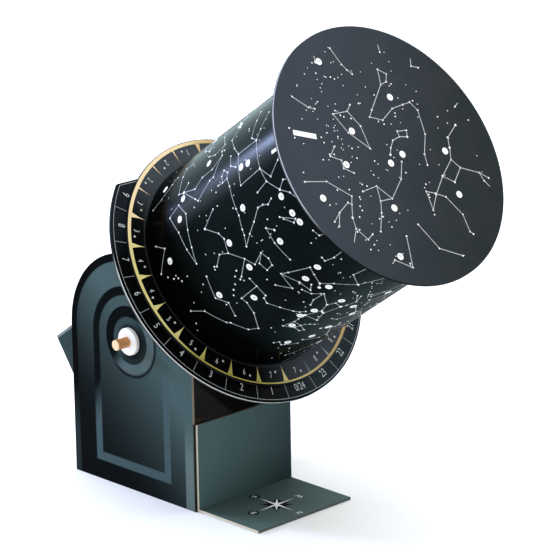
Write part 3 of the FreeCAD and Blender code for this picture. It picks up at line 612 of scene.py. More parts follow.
# Stick figures as strokes of stars: each star's right ascension in hours and declination in
# degrees, * for a bright star and ** for one of the brightest. The places after @ are those of the
# figure's labels, whose number is the figure's own place in this list.
FIGURES = """
ursa major: 13.79,49.3* 13.4,54.9* 12.9,56* 12.26,57 11.9,53.7 11.03,56.4* 11.06,61.8* 12.26,57 |
11.06,61.8 9.47,62.5 8.45,59.7 9.05,66.6 9.53,63.1 9.86,58.7 9.67,50.9 9.27,46.7 9.3,45.6 |
11.9,53.7 11.85,46.9 11.73,44 | 11.85,46.9 11.58,45.5 11.42,43.7 10.37,41.5 @ 12.74,58.6 10.49,54.1;
ursa minor: 2.53,89.3* 17.54,86.6 16.77,82 15.73,77.8 14.85,74.2* 15.35,71.8 16.29,75.8 15.73,77.8
@ 12.51,83;
draco: 11.52,69.3 12.56,69.8 14.07,64.4 15.42,59 16.03,58.6 16.4,61.5 17.15,65.7 18.35,72.7
19.8,70.3 19.21,67.7 17.89,56.9 17.94,51.5 17.51,52.3 17.54,55.2 17.89,56.9 @ 17.34,61;
cepheus: 20.75,61.8 21.31,62.6 22.18,58.2 22.83,66.2 23.66,77.6 21.48,70.6 21.31,62.6 @ 22.52,67.7;
cassiopeia: 0.15,59.2 0.68,56.5 0.95,60.7 1.43,60.2 1.91,63.7 @ 1.26,62.2;
camelopardalis: 3.12,61.4 3.76,68.6 5.35,66.9 7,77 10.03,83.5 | 3.76,68.6 4.43,63.3 4.63,58.7
4.73,51.8 | 4.43,63.3 5.35,66.9 @ 5.49,63 5.17,84.9;
lynx: 6.94,57.2 7.51,48.4 8.29,44 9.01,41.8 9.31,36.8 9.35,34.4;
perseus: 1.48,43.9 1.73,50.7 2.84,55.9 3.08,53.5 3.41,49.9* 3.72,47.8 4.28,47.2 4.4,49.5 |
3.08,53.5 2.9,52.8 2.92,47.8 2.99,44.5 | 2.92,47.8 3.19,44.6 3.14,41 3.09,38.8 2.84,38.3 |
3.74,32.3 3.9,31.9 3.98,35.8 3.96,40 3.72,47.8 @ 2.19,46.4 2.38,36.2;
auriga: 6.05,53.1 6.07,44.1 5.39,45 5.11,41.2 4.95,33.2 5.44,28.6* 5.99,37.2 5.99,45 @ 5.62,46.4;
canes venatici: 12.93,38.3 12.56,41.4;
bootes: 14.26,19.2** 14.75,27.1 15.26,33.3 15.03,40.4 14.53,38.3 14.53,30.4 14.26,19.2** |
14.53,38.3 14.36,45.5 | 13.82,15.8 13.91,18.4 14.26,19.2 14.69,13.7;
hercules: 16.37,19.2 16.5,21.5 16.69,31.6 16.71,38.9 17.25,36.8 17,30.9 16.69,31.6 | 17,30.9
17.25,24.8 17.24,14.4 | 17.25,24.8 17.51,26.1 17.77,27.7 18.13,28.8 | 17.25,36.8 17.94,37.3
17.72,45.8 | 16.71,38.9 16.57,42.4 16.42,45.8 16.15,44.9;
lyra: 18.62,38.8** 18.74,39.7 18.75,37.6 18.62,38.8 | 18.75,37.6 18.83,33.4 18.98,32.7 18.91,36.9
18.75,37.6;
cygnus: 20.69,45.3** 20.37,40.3* 19.94,35.1 19.51,28 | 19.41,53 19.58,51.3 19.7,49.3 19.8,44.3
20.37,40.3 20.77,34* 21.22,30.2 @ 20.57,45.7;
lacerta: 22.27,37.8 22.54,44.4 22.6,49.5 22.5,51.5;
andromeda: 0.14,29.1* 0.66,30.9 1.16,35.6* 1.43,39 2.06,42.3* | 0.66,30.9 0.79,24.3 | 0.14,29.1
0.61,33.7 0.28,38.7 23.7,44 | 1.16,35.6 0.95,38.5 1.16,43.8 @ 1.37,34.9;
pegasus: 23.08,15.2 23.06,28.1* 0.14,29.1 0.22,15.2 23.08,15.2 22.69,10.8 22.17,6.2 21.74,9.9* |
23.06,28.1 22.72,30.2 22.17,33.2 | 23.06,28.1 22.83,24.6 22.12,25.3 21.74,25.7 @ 23.63,17.1
23.67,22.1;
triangulum: 1.88,29.6 2.22,35.5 2.29,33.9 2,30.8;
aries: 2.12,23.5* 1.91,20 2.46,19.3 3.19,19.7 @ 2.52,22.4;
pisces: 1.23,30.1 1.33,27.3 1.23,24.6 1.22,21.3 1.52,15.4 1.76,9.2 2.03,2.8 1.69,5.5 1.5,6.1
1.05,7.9 0.81,7.6 23.99,6.9 23.67,5.6 23.47,6.4 23.29,3.3 23.45,1.3 23.7,1.8 23.67,5.6 | 23.7,1.8
23.69,-1.9 | 22.92,8.5 23.32,9 23.49,13 @ 0.92,12.2;
cetus: 0.32,-8.8 0.73,-18* 1.14,-10.2 1.4,-8.2 1.86,-10.3 2.32,-3 2.66,0.3 2.47,8.5 2.75,10.1 3,8.9
3.04,4.1 2.72,3.2 2.47,8.5 | 1.86,-10.3 1.73,-15.9 2,-21.1 1.96,-22.6 | 2.32,-3 2.73,-12.1 2.79,-14
| 2.48,-12.4 | 2.61,-15.4 | 2.82,-18.6 | 2.94,-21.6 | 3.09,-23.9 @ 1.61,-6.3 2.63,-3.9;
taurus: 3.61,0.4 4.05,6 3.41,9 3.51,12.9 3.79,24.1 4.08,22.1 4.48,19.2* 4.6,16.5** | 3.41,9
4.01,12.5 4.49,11.9 4.33,15.6 | 4.48,19.2 4.8,23.5 5.44,28.6 | 4.29,9 4.63,9.9 4.85,13 @ 3.93,26.8
4.03,16.8 4.8,19.9;
orion: 4.92,14 5.42,6.4* 5.53,-0.3* 5.6,-1.2* 5.68,-1.9* 5.8,-9.7* 5.24,-8.2** 5.53,-0.3 | 4.92,14
4.89,6.3 5,1.5 | 5.42,6.4 5.59,9.9 5.92,7.4** 5.68,-1.9 | 5.92,7.4 6.04,9.7 6.2,14.2 5.91,20.3 |
6.2,14.2 6.07,20.1 @ 5.67,13 5.15,-9.9 6.37,8.9;
gemini: 7.76,28** 7.34,22 7.07,20.6 6.63,16.4* | 7.58,31.9* 7.19,30.3 6.73,25.1 6.38,22.5 6.25,22.5
| 6.73,25.1 6.48,20.2 | 7.34,22 7.3,16.5 6.75,12.9 | 7.19,30.3 7.76,28;
canis minor: 7.66,5.2** 7.45,8.3;
canis major: 6.38,-18* 6.75,-16.7** 7.05,-23.8 7.14,-26.4* 7.4,-29.3 | 7.14,-26.4 6.98,-29*
6.34,-30.1 | 6.75,-16.7 6.94,-17.1 7.06,-15.6 6.9,-12 6.94,-17.1 @ 6.63,-16.5 6.52,-26.6;
lepus: 5.22,-12.9 5.22,-16.2 5.55,-17.8 5.78,-14.8 5.94,-14.2 | 5.22,-16.2 5.09,-22.4 5.47,-20.8
5.55,-17.8 | 5.47,-20.8 5.74,-22.5 5.86,-20.9 5.55,-17.8 @ 5.31,-19.7;
columba: 5.52,-35.5 5.66,-34.1 5.85,-35.8 5.96,-35.3 6.37,-33.4;
monoceros: 6.25,-6.3 6.48,-7 7.2,-0.5 6.8,2.4 6.55,7.3 | 7.2,-0.5 7.69,-9.6;
puppis: 6.63,-43.2 7.29,-37.1 7.82,-24.9 8.13,-24.3 8.06,-40 7.49,-43.3 6.83,-50.6;
vela: 8.16,-47.3* 9.13,-43.4 9.51,-40.5 10.78,-49.4;
hydra: 8.72,3.4 8.63,5.7 8.78,6.4 8.92,5.9 8.72,3.4 | 8.92,5.9 9.24,2.3 9.66,-1.1 9.46,-8.7*
9.86,-14.9 10.18,-12.4 10.43,-16.8 10.83,-16.2 11,-18.3 11.55,-31.9 11.88,-33.9 13.32,-23.2
14.11,-26.7;
crater: 11,-18.3 11.19,-22.8 11.41,-17.7 11.32,-14.8 11,-18.3 | 11.32,-14.8 11.61,-9.8 |
11.41,-17.7 11.75,-18.4 11.93,-17.2;
corvus: 12.14,-24.7 12.17,-22.6 12.26,-17.5 12.5,-16.5 12.57,-23.4 12.17,-22.6;
leo: 10.14,12** 10.12,16.8 10.33,19.8* 10.28,23.4 9.88,26 9.76,23.8 | 10.33,19.8 11.24,20.5
11.82,14.6* 11.24,15.4 10.14,12 | 11.24,20.5 11.24,15.4 11.4,10.5 11.35,6;
leo minor: 10.89,34.2 10.46,36.7 10.12,35.2 10.89,34.2;
cancer: 8.28,9.2 8.74,18.2 8.72,21.5 8.78,28.8 | 8.74,18.2 8.97,11.9;
sextans: 9.88,-8.1 10.13,-0.4 10.5,-0.6;
virgo: 11.84,1.8 12.33,-0.7 12.69,-1.4 13.17,-5.5 13.42,-11.2** 14.21,-10.3 14.72,-5.7 | 12.69,-1.4
12.93,3.4 13.04,11 | 12.93,3.4 13.58,-0.6 14.03,1.5 14.77,1.9 | 13.17,-5.5 13.58,-0.6;
coma: 12.45,28.3 13.2,27.9 13.17,17.5;
corona borealis: 15.55,31.4 15.46,29.1 15.58,26.7* 15.71,26.3 15.83,26.1 15.96,26.9 16.02,29.9;
serpens head: 15.83,-3.4 15.85,4.5 15.74,6.4 15.58,10.5 15.77,15.4 15.94,15.7 15.81,18.1 15.69,19.7
15.77,15.4;
serpens tail: 17.35,-12.8 17.63,-15.4 18.01,-3.7 18.36,-2.9 18.94,4.2;
ophiuchus: 17.58,12.6* 17.72,4.6 17.17,-15.7 16.62,-10.6 16.31,-4.7 16.24,-3.7 16.52,2 16.96,9.4
17.58,12.6 | 17.17,-15.7 17.35,-21.1 17.37,-25 | 17.72,4.6 17.8,2.7 17.98,-9.8;
libra: 15.64,-29.8 15.07,-25.3 14.85,-16 15.28,-9.4 15.59,-14.8 14.85,-16;
scorpius: 15.98,-26.1 16.01,-22.6 16.09,-19.8 | 16.01,-22.6 16.35,-25.6 16.49,-26.4** 16.6,-28.2
16.84,-34.3 16.86,-38.1 16.91,-42.4 17.2,-43.2 17.62,-43* 17.79,-40.1 17.71,-39 17.56,-37.1*
17.51,-37.3;
lupus: 14.7,-47.4 14.98,-43.1 15.36,-40.7 15.59,-41.2 15.38,-44.7 14.7,-47.4 | 15.59,-41.2 16,-38.4;
centaurus: 12.14,-50.7 12.69,-49 13.93,-47.3 13.83,-41.7 14.11,-36.4* 13.34,-36.7 | 13.83,-41.7
14.59,-42.2;
sagittarius: 18.1,-30.4 18.35,-29.8 18.4,-34.4* 18.1,-30.4 | 18.35,-29.8 18.47,-25.4 18.76,-27
18.35,-29.8 | 18.76,-27 18.92,-26.3* 19.12,-27.7 19.04,-29.9 18.76,-27 | 19.04,-29.9 18.4,-34.4
18.29,-36.8 | 18.47,-25.4 18.23,-21.1 | 18.92,-26.3 18.96,-21.1 19.16,-21 19.36,-17.9 | 19.04,-29.9
20,-35.3 19.92,-41.9 19.4,-40.6 19.38,-44.5;
corona australis: 18.98,-37.1 19.11,-37.1 19.16,-37.9 19.17,-39.3 19.14,-40.5 18.56,-42.3;
aquila: 18.99,15.1 19.09,13.9 19.85,8.9** 20.19,-0.8 19.87,1 19.42,3.1 19.09,13.9 | 19.42,3.1
19.1,-4.9 | 19.77,10.6 19.85,8.9 19.92,6.4;
scutum: 18.79,-4.8 18.59,-8.2 18.49,-14.6 18.7,-9.1 18.79,-4.8;
delphinus: 20.55,11.3 20.63,14.6 20.66,15.9 20.78,16.1 20.72,15.1 20.63,14.6;
sagitta: 19.98,19.5 19.79,18.5 19.67,18 | 19.79,18.5 19.68,17.5;
vulpecula: 19.48,24.7 19.89,24.1;
equuleus: 21.26,5.3 21.38,6.8 21.24,10 21.17,10.1 21.26,5.3;
capricornus: 20.3,-12.5 20.35,-14.8 20.77,-25.3 20.86,-26.9 21.44,-22.4 21.78,-16.1 21.67,-16.7
21.1,-17.2 20.35,-14.8;
aquarius: 22.11,-13.9 22.28,-7.8 22.1,-0.3 21.53,-5.6 20.79,-9.5 | 22.1,-0.3 22.36,-1.4 22.42,1.4 |
22.36,-1.4 22.59,-0.1 22.88,-7.6 22.91,-15.8 23.16,-21.2 22.96,-29.6** 22.88,-32.9 | 22.59,-0.1
23.24,-6 23.27,-9.1 23.69,-18.8 23.55,-20.9 22.96,-29.6 @ 22.47,-12;
piscis austrinus: 21.8,-28.1 21.75,-33 22.14,-33 22.88,-32.9 | 22.68,-27 22.96,-29.6 @ 23.18,-29.8;
grus: 21.9,-37.4 22.1,-39.5 22.49,-43.5 22.71,-46.9 @ 22.05,-43.3;
phoenix: 0.16,-45.8 0.44,-42.3 1.11,-46.7 | 1.34,-44.9 | 1.5,-43.1 | 1.57,-41.4 | 1.72,-40.6 @
0.92,-41.8;
sculptor: 23.31,-32.5 23.55,-37.8 0.26,-34 0.94,-32.3 1.53,-30.6 0.98,-29.4 0.38,-28.7 23.82,-28.1
23.31,-32.5 @ 23.85,-32.3;
fornax: 2.07,-29.3 2.82,-32.4 3.2,-29 3.7,-31.9 @ 2.81,-29.8;
eridanus: 5.13,-5.1 4.99,-7.4 4.8,-8.7 4.38,-11 3.97,-13.5 3.77,-12.1 3.72,-9.8 3.28,-9 2.94,-8.9 |
3.28,-9 3.33,-21.8 3.56,-21.6 4,-24 4.59,-30.6 4.4,-34 3.82,-36.2 3.72,-37.3 2.97,-40.3 2.7,-44.4 @
3.55,-16.1
"""
SKY_TURN = 160.0  # the angle of right ascension 0 h, counter-clockwise from +X, in degrees
LINE_WIDTH = 0.5 * MM
STAR_RADII = (0.72 * MM, 0.95 * MM, 1.3 * MM)  # by brightness
STAR_GAP = 0.9 * MM  # between a faint star and the nearest line
LABEL_RADIUS = 2.6 * MM
LABEL_HEIGHT = 2.2 * MM
LABELLED_LENGTH = 14 * MM  # a figure on the shell with less line than this gets no free label
FAINT_STARS = 560
FAINT_RADII = (0.38 * MM, 0.45 * MM, 0.6 * MM)
GALAXY_POLE = (12.86, 27.1)
GALAXY_SPREAD = 0.15  # how far the Milky Way reaches from its middle, as a sine
DISC_PRINT = 86.5 * MM  # the radius of the disc's print
DISC_LOWEST = 12  # the lowest declination on the disc, in degrees
DISC_HEIGHT = 83 * MM  # from the lamp to the disc's print
SHELL_EQUATOR = DISC_FRONT - 90 * MM
SHELL_SCALE = 84 * MM
SHELL_HIGHEST = 75  # the highest declination on the shell
SHELL_BAR_PLACE = (math.radians(158.7) * SHELL_RADIUS, DISC_FRONT - 23.1 * MM)
SHELL_BAR = (SHELL_BAR_PLACE, 9.2 * MM, 2.6 * MM, 90)  # middle, length, width and turn
DISC_BAR = ((-67.5 * MM, 28.6 * MM), 19.4 * MM, 3.9 * MM, -21)


def read_star(word):
    """A star's right ascension, declination and brightness."""
    hours, degrees = word.rstrip("*").split(",")
    return float(hours), float(degrees), word.count("*")


def read_figures():
    """Each figure's strokes of stars, and the places of its labels."""
    figures = []
    for entry in FIGURES.split(";"):
        drawing, _, notes = entry.partition(":")[2].partition("@")
        strokes = [[read_star(word) for word in stroke.split()] for stroke in drawing.split("|")]
        figures.append((strokes, [read_star(word)[:2] for word in notes.split()]))
    return figures


def on_disc_map(hours, degrees):
    """A star's place on the disc, projected from the lamp, or None where it is too low."""
    if degrees < DISC_LOWEST:
        return None
    return ring_point(DISC_HEIGHT / math.tan(math.radians(degrees)), hours * 15 + SKY_TURN)


def on_shell_map(hours, degrees):
    """A star's place on the unrolled shell, or None near the pole."""
    if degrees > SHELL_HIGHEST:
        return None
    turn = math.radians((hours * 15 + SKY_TURN) % 360)
    return turn * SHELL_RADIUS, SHELL_EQUATOR + SHELL_SCALE * math.tan(math.radians(degrees))


def inside_disc(point):
    return math.hypot(*point) < DISC_PRINT


def inside_shell(point):
    return SHELL_REAR + 1.5 * MM < point[1] < SHELL_FRONT - 0.8 * MM


def clipped(start, end, inside):
    """The stretch of a line that lies inside, found by walking along it, or None."""
    found = [point for point in walk(start, end, 60) if inside(point)]
    return (found[0], found[-1]) if len(found) > 1 else None


def unwrapped(start, end):
    """The end, moved by a full turn of the shell where that is nearer the start."""
    around = math.tau * SHELL_RADIUS
    return end[0] - around * round((end[0] - start[0]) / around), end[1]


def near_line(point, lines):
    """The distance from a point to the nearest of some lines."""
    best = 1.0
    for (u0, v0), (u1, v1) in lines:
        du, dv = u1 - u0, v1 - v0
        square = du * du + dv * dv or 1e-12
        t = max(0, min(1, ((point[0] - u0) * du + (point[1] - v0) * dv) / square))
        best = min(best, math.hypot(point[0] - u0 - du * t, point[1] - v0 - dv * t))
    return best


def label_place(own, lines, inside, taken):
    """A free place for a figure's label, near its middle."""
    ends = [end for line in own for end in line]
    middle = [sum(axis) / len(ends) for axis in zip(*ends)]
    for ring in range(8):
        for turn in range(0, 360, 30):
            point = ring_point(ring * 2 * MM, turn, middle)
            free = all(math.dist(point, other) > 3 * LABEL_RADIUS for other in taken)
            clear = near_line(point, own) > LABEL_RADIUS + 0.8 * MM
            clear = clear and near_line(point, lines) > LABEL_RADIUS
            if free and clear and roomy(point, inside):
                return point
    return None


def roomy(spot, inside):
    """Whether a label fits at a place."""
    return all(inside((spot[0], spot[1] + side)) for side in (-LABEL_RADIUS, LABEL_RADIUS))


def direction(hours, degrees):
    turn, rise = math.radians(hours * 15), math.radians(degrees)
    level = math.cos(rise)
    return Vector((level * math.cos(turn), level * math.sin(turn), math.sin(rise)))


def faint_stars():
    """Small stars over the whole sky, crowded towards the Milky Way."""
    draw = random.Random(11)
    pole = direction(*GALAXY_POLE)
    stars = []
    while len(stars) < FAINT_STARS:
        hours = draw.uniform(0, 24)
        degrees = math.degrees(math.asin(draw.uniform(-0.8, 1)))
        off_band = abs(direction(hours, degrees).dot(pole))
        crowd = 1.0 if degrees > 40 else 0.5
        if draw.random() < crowd * (0.2 + 0.8 * math.exp(-((off_band / GALAXY_SPREAD) ** 2))):
            stars.append((hours, degrees, draw.choice(FAINT_RADII)))
    return stars


def figure_lines(strokes, project, inside, wraps):
    """The lines of one figure that show on a surface."""
    lines = []
    for stars in strokes:
        spots = [project(*star[:2]) for star in stars]
        for start, end in zip(spots, spots[1:]):
            if start and end:
                lines.append(clipped(start, unwrapped(start, end) if wraps else end, inside))
    return [line for line in lines if line]


def label_spots(figures, drawn, project, inside, wraps):
    """Each label's number and place. The shell's figures without one get a free place."""
    lines = [line for own in drawn for line in own]
    labels = []
    for number, ((_, places), own) in enumerate(zip(figures, drawn), start=1):
        spots = [project(*place) for place in places]
        if wraps and not places and sum(math.dist(*line) for line in own) > LABELLED_LENGTH:
            spots = [label_place(own, lines, inside, [spot for _, spot in labels])]
        labels += [(str(number), spot) for spot in spots if spot and roomy(spot, inside)]
    return labels


def draw_sky(name, place, project, inside, wraps, inks, slot):
    """Draw lines, stars, labels and their numbers on one surface."""
    layers = [Print(f"{name}_{layer}", place) for layer in ("lines", "stars", "labels")]
    layers.append(Print(name + "_numbers", lambda u, v: lifted(place(u, v), wraps)))
    lines_print, stars_print, labels_print, numbers_print = layers
    figures = read_figures()
    drawn = [figure_lines(strokes, project, inside, wraps) for strokes, _ in figures]
    lines = [line for own in drawn for line in own]
    for start, end in lines:
        lines_print.line(start, end, LINE_WIDTH)
    stars = {}
    strokes = [stroke for drawing, _ in figures for stroke in drawing]
    for hours, degrees, bright in (star for stroke in strokes for star in stroke):
        stars.setdefault((hours, degrees), STAR_RADII[bright])
    for star, radius in stars.items():
        spot = project(*star)
        if spot and inside(spot):
            stars_print.dot(*spot, radius)
    labels = label_spots(figures, drawn, project, inside, wraps)
    for number, spot in labels:
        labels_print.dot(*spot, LABEL_RADIUS, sides=24)
        numbers_print.text(number, *spot, LABEL_HEIGHT, 90 if wraps else 0, narrow=0.8)
    for hours, degrees, radius in faint_stars():
        spot = project(hours, degrees)
        if spot and inside(spot) and near_line(spot, lines) > STAR_GAP:
            if all(math.dist(spot, label) > LABEL_RADIUS + radius for _, label in labels):
                stars_print.dot(*spot, radius, sides=8)
    for layer, colour in zip(layers, inks):
        layer.finish("star_drum", colour, slot)


def lifted(point, wraps):
    """A point of a print moved outwards by one more layer of ink."""
    along = (point - HUB).dot(POLAR)
    way = (point - HUB - POLAR * along).normalized() if wraps else POLAR
    return point + way * INK_LIFT


def blank_bar(name, place, middle, length, width, turn, material, slot):
    """A white strip with nothing written on it."""
    bar = Print(name, place)
    start, end = (ring_point(reach, turn, middle) for reach in (-length / 2, length / 2))
    bar.line(start, end, width, step=2 * MM)
    bar.finish("star_drum", material, slot)


# ---- dials and compass

CELL = 15  # degrees from one hour, or one half month, to the next
DIAL_THIN = 0.004  # how far the dials' characters are drawn in, at a font size of 1
HOUR_LINE = 0.4 * MM
HOUR_TICK = 0.35 * MM
HOUR_NUMBERS = 102.3 * MM  # from the middle of the hours' print
HOUR_HEIGHT = 5.8 * MM
MONTH_NUMBERS = 90.3 * MM
MONTH_HEIGHT = 4.7 * MM
MONTH_DOTS = (92.3 * MM, 88.2 * MM)  # by turns
THORN_ROOT = 96 * MM
THORN_TIP = 83.2 * MM
TICK_TIP = 88 * MM
FINE_WIDTH = 0.3 * MM
COMPASS = (-1 * MM, -104 * MM)
COMPASS_LETTERS = 24 * MM  # from the middle of the rose
COMPASS_HEIGHT = 4.2 * MM


def draw_hour_plate(outline_ink, number_ink):
    """The hour plate's print: an outline, and a tick and a number for each hour."""
    inset = 1.8 * MM
    twist = 1.2  # the print lies a little askew on its board
    middle = (0.9 * MM, 0.3 * MM)
    radius = HOUR_RADIUS - inset
    flat = max((v.co - HUB).dot(RISE) for v in frame["nodes"]["hour_plate"].data.vertices) - inset
    lift = math.degrees(math.asin(flat / radius))
    half = math.sqrt(radius**2 - flat**2)
    place = on_plane(HOUR_FRONT)
    outline = Print("hour_outline", lambda u, v: place(u + middle[0], v + middle[1]))
    outline.arc(radius, HOUR_LINE, 180 - lift, 360 + lift)
    outline.line((-half, flat), (half, flat), HOUR_LINE)
    numbers = Print("hour_numbers", place)
    for hour in range(24):
        turn = -90 - CELL * hour + twist
        start, end = (ring_point(r, turn - CELL / 2) for r in (DATE_RADIUS + 0.4 * MM, radius))
        if end[1] < flat:
            outline.line(start, end, HOUR_TICK)
        spot = ring_point(HOUR_NUMBERS, turn, middle)
        if spot[1] < flat - 3 * MM:
            numbers.text(str(hour or "0/24"), *spot, HOUR_HEIGHT, turn + 90, 0.68, DIAL_THIN)
    outline.finish("cradle", outline_ink, "hour_board")
    numbers.finish("cradle", number_ink, "hour_board")


def draw_date_ring(gold, white, grey, dim):
    """The date ring's print: a gold rim with thorns, and the months' numbers."""
    twist = 2.3
    parts = ("rim", "numbers", "fine_lines", "inner_line")
    rim, months, fine, inner = (Print("date_" + part, on_plane(DATE_FRONT)) for part in parts)
    for degrees in range(0, 360, 3):
        corners = ((0, degrees), (1, degrees), (1, degrees + 3), (0, degrees + 3))
        rim.polygon([ring_point(rim_edge(turn, outer), turn) for outer, turn in corners])
    inner.arc(SHELL_RADIUS + 2 * MM, FINE_WIDTH)
    for cell in range(24):
        turn = -90 + CELL * cell + twist
        tick = turn + CELL / 2
        if cell < 2:
            draw_thorn(fine, (0.4 + 0.5 * cell) * MM, tick)
        elif cell < 4:
            fine.line(ring_point(THORN_ROOT, tick), ring_point(TICK_TIP, tick), FINE_WIDTH)
        else:
            draw_thorn(rim, 0.7 * MM if cell in (12, 13, 14) else 2.3 * MM, tick)
        month = (6 + (cell + 1) // 2) % 12 + 1  # July stands at the bottom
        spot = ring_point(MONTH_NUMBERS, turn - 0.2)
        months.text(str(month), *spot, MONTH_HEIGHT, turn + 90, 0.64, DIAL_THIN)
        months.dot(*ring_point(MONTH_DOTS[cell % 2], turn + 2.9), 0.85 * MM, sides=12)
    for part, colour in ((rim, gold), (months, white), (fine, grey), (inner, dim)):
        part.finish("star_drum", colour, "date_board")


def rim_edge(degrees, outer):
    """The gold rim's inner or outer radius. It is thinner at the lower left."""
    thin = max(0, math.cos(math.radians(degrees - 248))) ** 2
    return 98.0 * MM - 0.6 * MM * thin if outer else 95.3 * MM + 1.1 * MM * thin


def draw_thorn(rim, half, degrees):
    """A gold thorn that points inwards from the rim, with hollow sides."""
    parts = 8
    c, s = ring_point(1, degrees)
    steps = [i / parts for i in range(parts + 1)]
    spans = [(THORN_ROOT + (THORN_TIP - THORN_ROOT) * t, half * (1 - t) ** 1.7) for t in steps]
    for (r0, h0), (r1, h1) in zip(spans, spans[1:]):
        corners = [(r0, -h0), (r0, h0), (r1, h1), (r1, -h1)]
        rim.polygon([(r * c - h * s, r * s + h * c) for r, h in corners])


def star_outline(long, short, waist, notch):
    """A rose's outline: four long arms, two short ones and a waist."""
    reaches = (long, notch, short, notch, long, notch, waist, notch) * 2
    return [ring_point(reach, 22.5 * i, COMPASS) for i, reach in enumerate(reaches)]


def draw_compass(white, black):
    """A plain compass rose on the base in front of the panel."""
    rose = Print("compass_white", on_base)
    shadow = Print("compass_black", lambda u, v: on_base(u, v) - UPWARD * INK_LIFT / 2)
    rose.polygon(star_outline(18.3 * MM, 12.5 * MM, waist=2 * MM, notch=2.9 * MM))
    shadow.polygon(star_outline(17.5 * MM, 14.5 * MM, waist=12 * MM, notch=7.2 * MM))
    for letter, turn in zip("NESW", (-90, 180, 90, 0)):
        spot = ring_point(COMPASS_LETTERS, turn, COMPASS)
        rose.text(letter, *spot, COMPASS_HEIGHT, turn + 90)
        if turn >= 90:
            shadow.arc(3.6 * MM, width=1.5 * MM, middle=spot)
    rose.finish("stand", white, "printed_board")
    shadow.finish("stand", black, "printed_board")


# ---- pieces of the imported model

BACK = board_back()
PLASTICS = (
    ("lamp_socket", "socket_plastic", "#202224"),
    ("battery_tray", "tray_plastic", "#1b1c1e"),
    ("switch_knob", "knob_plastic", "#15161a"),
    ("red_lead", "red_sleeve", "#a51d1d"),
    ("switch_lead", "link_sleeve", "#a51d1d"),
    ("black_lead", "black_sleeve", "#141416"),
)
METALS = (
    ("lamp_post", "post_metal", "#b9bcc0"),
    ("bulb_cap", "cap_brass", "#c9a45a"),
    ("battery_contacts", "contact_steel", "#c2c5c8"),
    ("switch_body", "switch_steel", "#a9adb0"),
)


def dress(node, rest, *sides):
    """Give a board a finish for each named side, and one for the rest of it."""
    mesh = frame["nodes"][node].data
    mesh.materials.clear()
    for finish in (rest, *(finish for _, finish in sides)):
        mesh.materials.append(finish)
    for polygon in mesh.polygons:
        for number, (way, _) in enumerate(sides, start=1):
            if polygon.normal.dot(way) > SIDE_COSINE:
                polygon.material_index = number


def dress_board(node, edge, way, face, *others):
    """Give a board a printed face, a plain back and a cut edge."""
    dress(node, edge, (way, face), (-way, BACK), *others)


def make_shell(film, edge):
    """The drum's shell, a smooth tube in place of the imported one."""
    sides = 360
    outer, inner = SHELL_RADIUS, SHELL_RADIUS - 1 * MM
    profile = ((outer, SHELL_REAR), (outer, SHELL_FRONT), (inner, SHELL_FRONT), (inner, SHELL_REAR))
    kinds = (0, 2, 1, 2)  # the material after each corner of the profile
    count = len(profile)
    points = [
        polar_point(*ring_point(radius, 360 * i / sides), along)
        for i in range(sides)
        for radius, along in profile
    ]
    faces = []
    for i in range(sides):
        here, there = i * count, (i + 1) % sides * count
        for k in range(count):
            following = (k + 1) % count
            faces.append((here + k, there + k, there + following, here + following))
    tube = add_mesh("drum_tube", points, faces, film, BACK, edge)
    for polygon in tube.data.polygons:
        polygon.material_index = kinds[polygon.index % count]
        polygon.use_smooth = polygon.material_index < 2
    tube.modifiers.new("edges", "EDGE_SPLIT").split_angle = math.radians(40)
    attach(tube, "star_drum")
    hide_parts("drum_shell")


def dress_stand():
    walls = wall_print()
    tan = raw_edge("wall_edge", "#988e7a", "#756c5b")
    cream = raw_edge("cream_edge", "#ddd6c4", "#bdb59f")
    brown = raw_edge("panel_edge", "#8f857e", "#6d645e")
    # painted shade: the base's other edges, the same cut board as its cream left edge, are dark grey
    painted_shading = raw_edge("base_shaded_edge", "#5b615f", "#414847")
    dress_board("side_wall_left", tan, -ACROSS, walls)
    dress_board("side_wall_right", tan, ACROSS, walls)
    panel = slate_print("panel_print", "#202e32", "#4c6362", (-7.5, 0, 4))
    dress_board("front_panel", brown, FORWARD, panel, (-ACROSS, cream), (ACROSS, cream))
    rear = slate_print("rear_print", "#1c282c", "#45585c")
    dress_board("rear_panel", brown, -FORWARD, rear)
    # painted shade: the base darkens towards the panel, in the corner below it
    base = slate_print("base_print_and_shade", "#3c4d4c", "#516562", (-1, -12, 0), -0.75)
    dress_board("base_plate", painted_shading, UPWARD, base, (-ACROSS, cream))
    # painted shade: the backer inside the stand is near black, with a dark edge, to sit in the shade
    # there
    backer = board_back("backer_painted_shade", "#0c1113", "#161d20")
    dress("front_backer", backer, (-ACROSS, raw_edge("backer_shaded_edge", "#4a4a3c", "#2f3029")))


def dress_box():
    box = slate_print("box_print", "#232f31", "#374749")
    edge = raw_edge("box_edge", "#858b89", "#626866")
    for node, opposite, way in (
        ("box_cheek_right", "box_cheek_left", ACROSS),
        ("box_top", "box_bottom", RISE),
        ("box_front", "back_lid", POLAR),
    ):
        dress_board(node, edge, way, box)
        dress_board(opposite, edge, -way, box)


def dress_dials():
    """The hour plate, the date ring and the star disc."""
    hours = dial_print("hour_face", "#020303", "#1d272c", "#12181e")
    dates = dial_print("date_face", "#030405", "#3a4147")
    stars = dial_print("star_face", "#333941", "#202628", way=150, limits=(-80 * MM, 80 * MM))
    pale = graded_edge("hour_edge", ("#1c2123", "#c6c9c6"), 218, (66 * MM, 82 * MM), HOUR_FRONT)
    dark = graded_edge("date_edge", ("#15181a", "#24282a"), 150, (-60 * MM, 60 * MM), DATE_FRONT)
    cut = graded_edge("disc_edge", ("#1b1d20", "#b6b7c0"), 160, (70 * MM, 90 * MM), DISC_FRONT)
    dress_board("hour_plate", pale, POLAR, hours)
    dress_board("date_ring", dark, POLAR, dates)
    dress_board("star_disc", cut, POLAR, stars)
    return cut


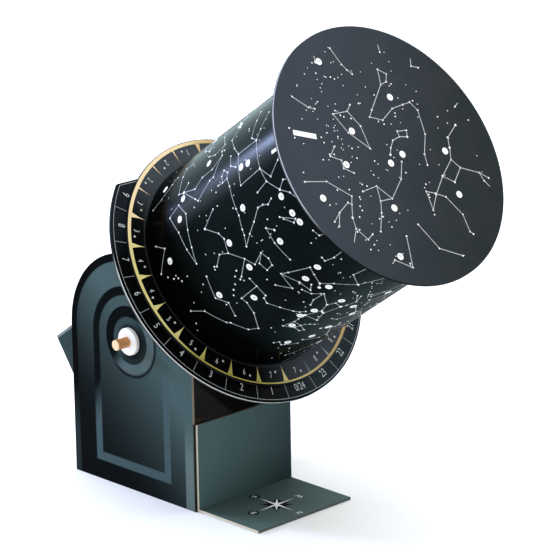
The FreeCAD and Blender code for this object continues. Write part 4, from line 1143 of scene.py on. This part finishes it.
def dress_rest():
    """Everything small or hidden, each in its own material."""
    cards = [node for node in frame["nodes"] if "strip" in node or node.startswith("spacer")]
    cards += ["rear_tab_ring", "front_tab_ring", "drum_seam"]
    cards += ["bulkhead", "lid_stops", "retaining_ring", "bearing_tube"]
    for node in cards:
        dress(node, BACK)
    dowel = wood("dowel_side", "#dca26d", "#ad7545")
    end = wood("dowel_end", "#f1d7b2", "#d9b283")
    dress("pivot_dowel", dowel, (ACROSS, end), (-ACROSS, end))
    washer = moulded("washer_plastic", "#f2f0ec", 0.3, 0.94)
    for node, look in (
        ("washer_left", washer),
        ("washer_right", washer),
        ("tube_plug", wood("plug_wood", "#c79a68", "#9a6a3c")),
        ("bulb_glass", clear_glass()),
        ("battery_cells", metal("cell_metal", "#8d9499", 0.3)),
    ):
        dress(node, look)
    for node, name, colour in PLASTICS:
        dress(node, moulded(name, colour))
    for node, name, colour in METALS:
        dress(node, metal(name, colour))


def draw_prints():
    white = ink("white_ink", "#ffffff", "#e4e6e6")
    dial_white = ink("dial_white", "#d3d9da", "#a6adaf")
    date_white = ink("date_white", "#e2e5e5", "#b0b5b5")
    line_ink = ink("line_ink", "#c9cdcf", "#a9aeb1")
    film_line = ink("film_line", "#b2babc", "#8d9699")
    label_ink = ink("label_ink", "#7c8084", "#5d6165")
    grey = ink("grey_ink", "#a7acaf", "#8a8f92")
    disc_inks, shell_inks = ((line, white, white, label_ink) for line in (line_ink, film_line))
    disc = on_plane(DISC_FRONT)
    draw_hour_plate(grey, dial_white)
    draw_date_ring(gold_print(), date_white, grey, ink("dim_ink", "#4c5053", "#33373a"))
    draw_compass(white, ink("black_ink", "#06090a", "#0d1113"))
    draw_sky("disc", disc, on_disc_map, inside_disc, False, disc_inks, "star_board")
    draw_sky("shell", on_shell, on_shell_map, inside_shell, True, shell_inks, "star_shell")
    blank_bar("disc_bar", disc, *DISC_BAR, white, "star_board")
    blank_bar("shell_bar", on_shell, *SHELL_BAR, white, "star_shell")


make_camera()
make_studio()
dress_stand()
dress_box()
dress_rest()
make_shell(film_gloss(), dress_dials())
draw_prints()
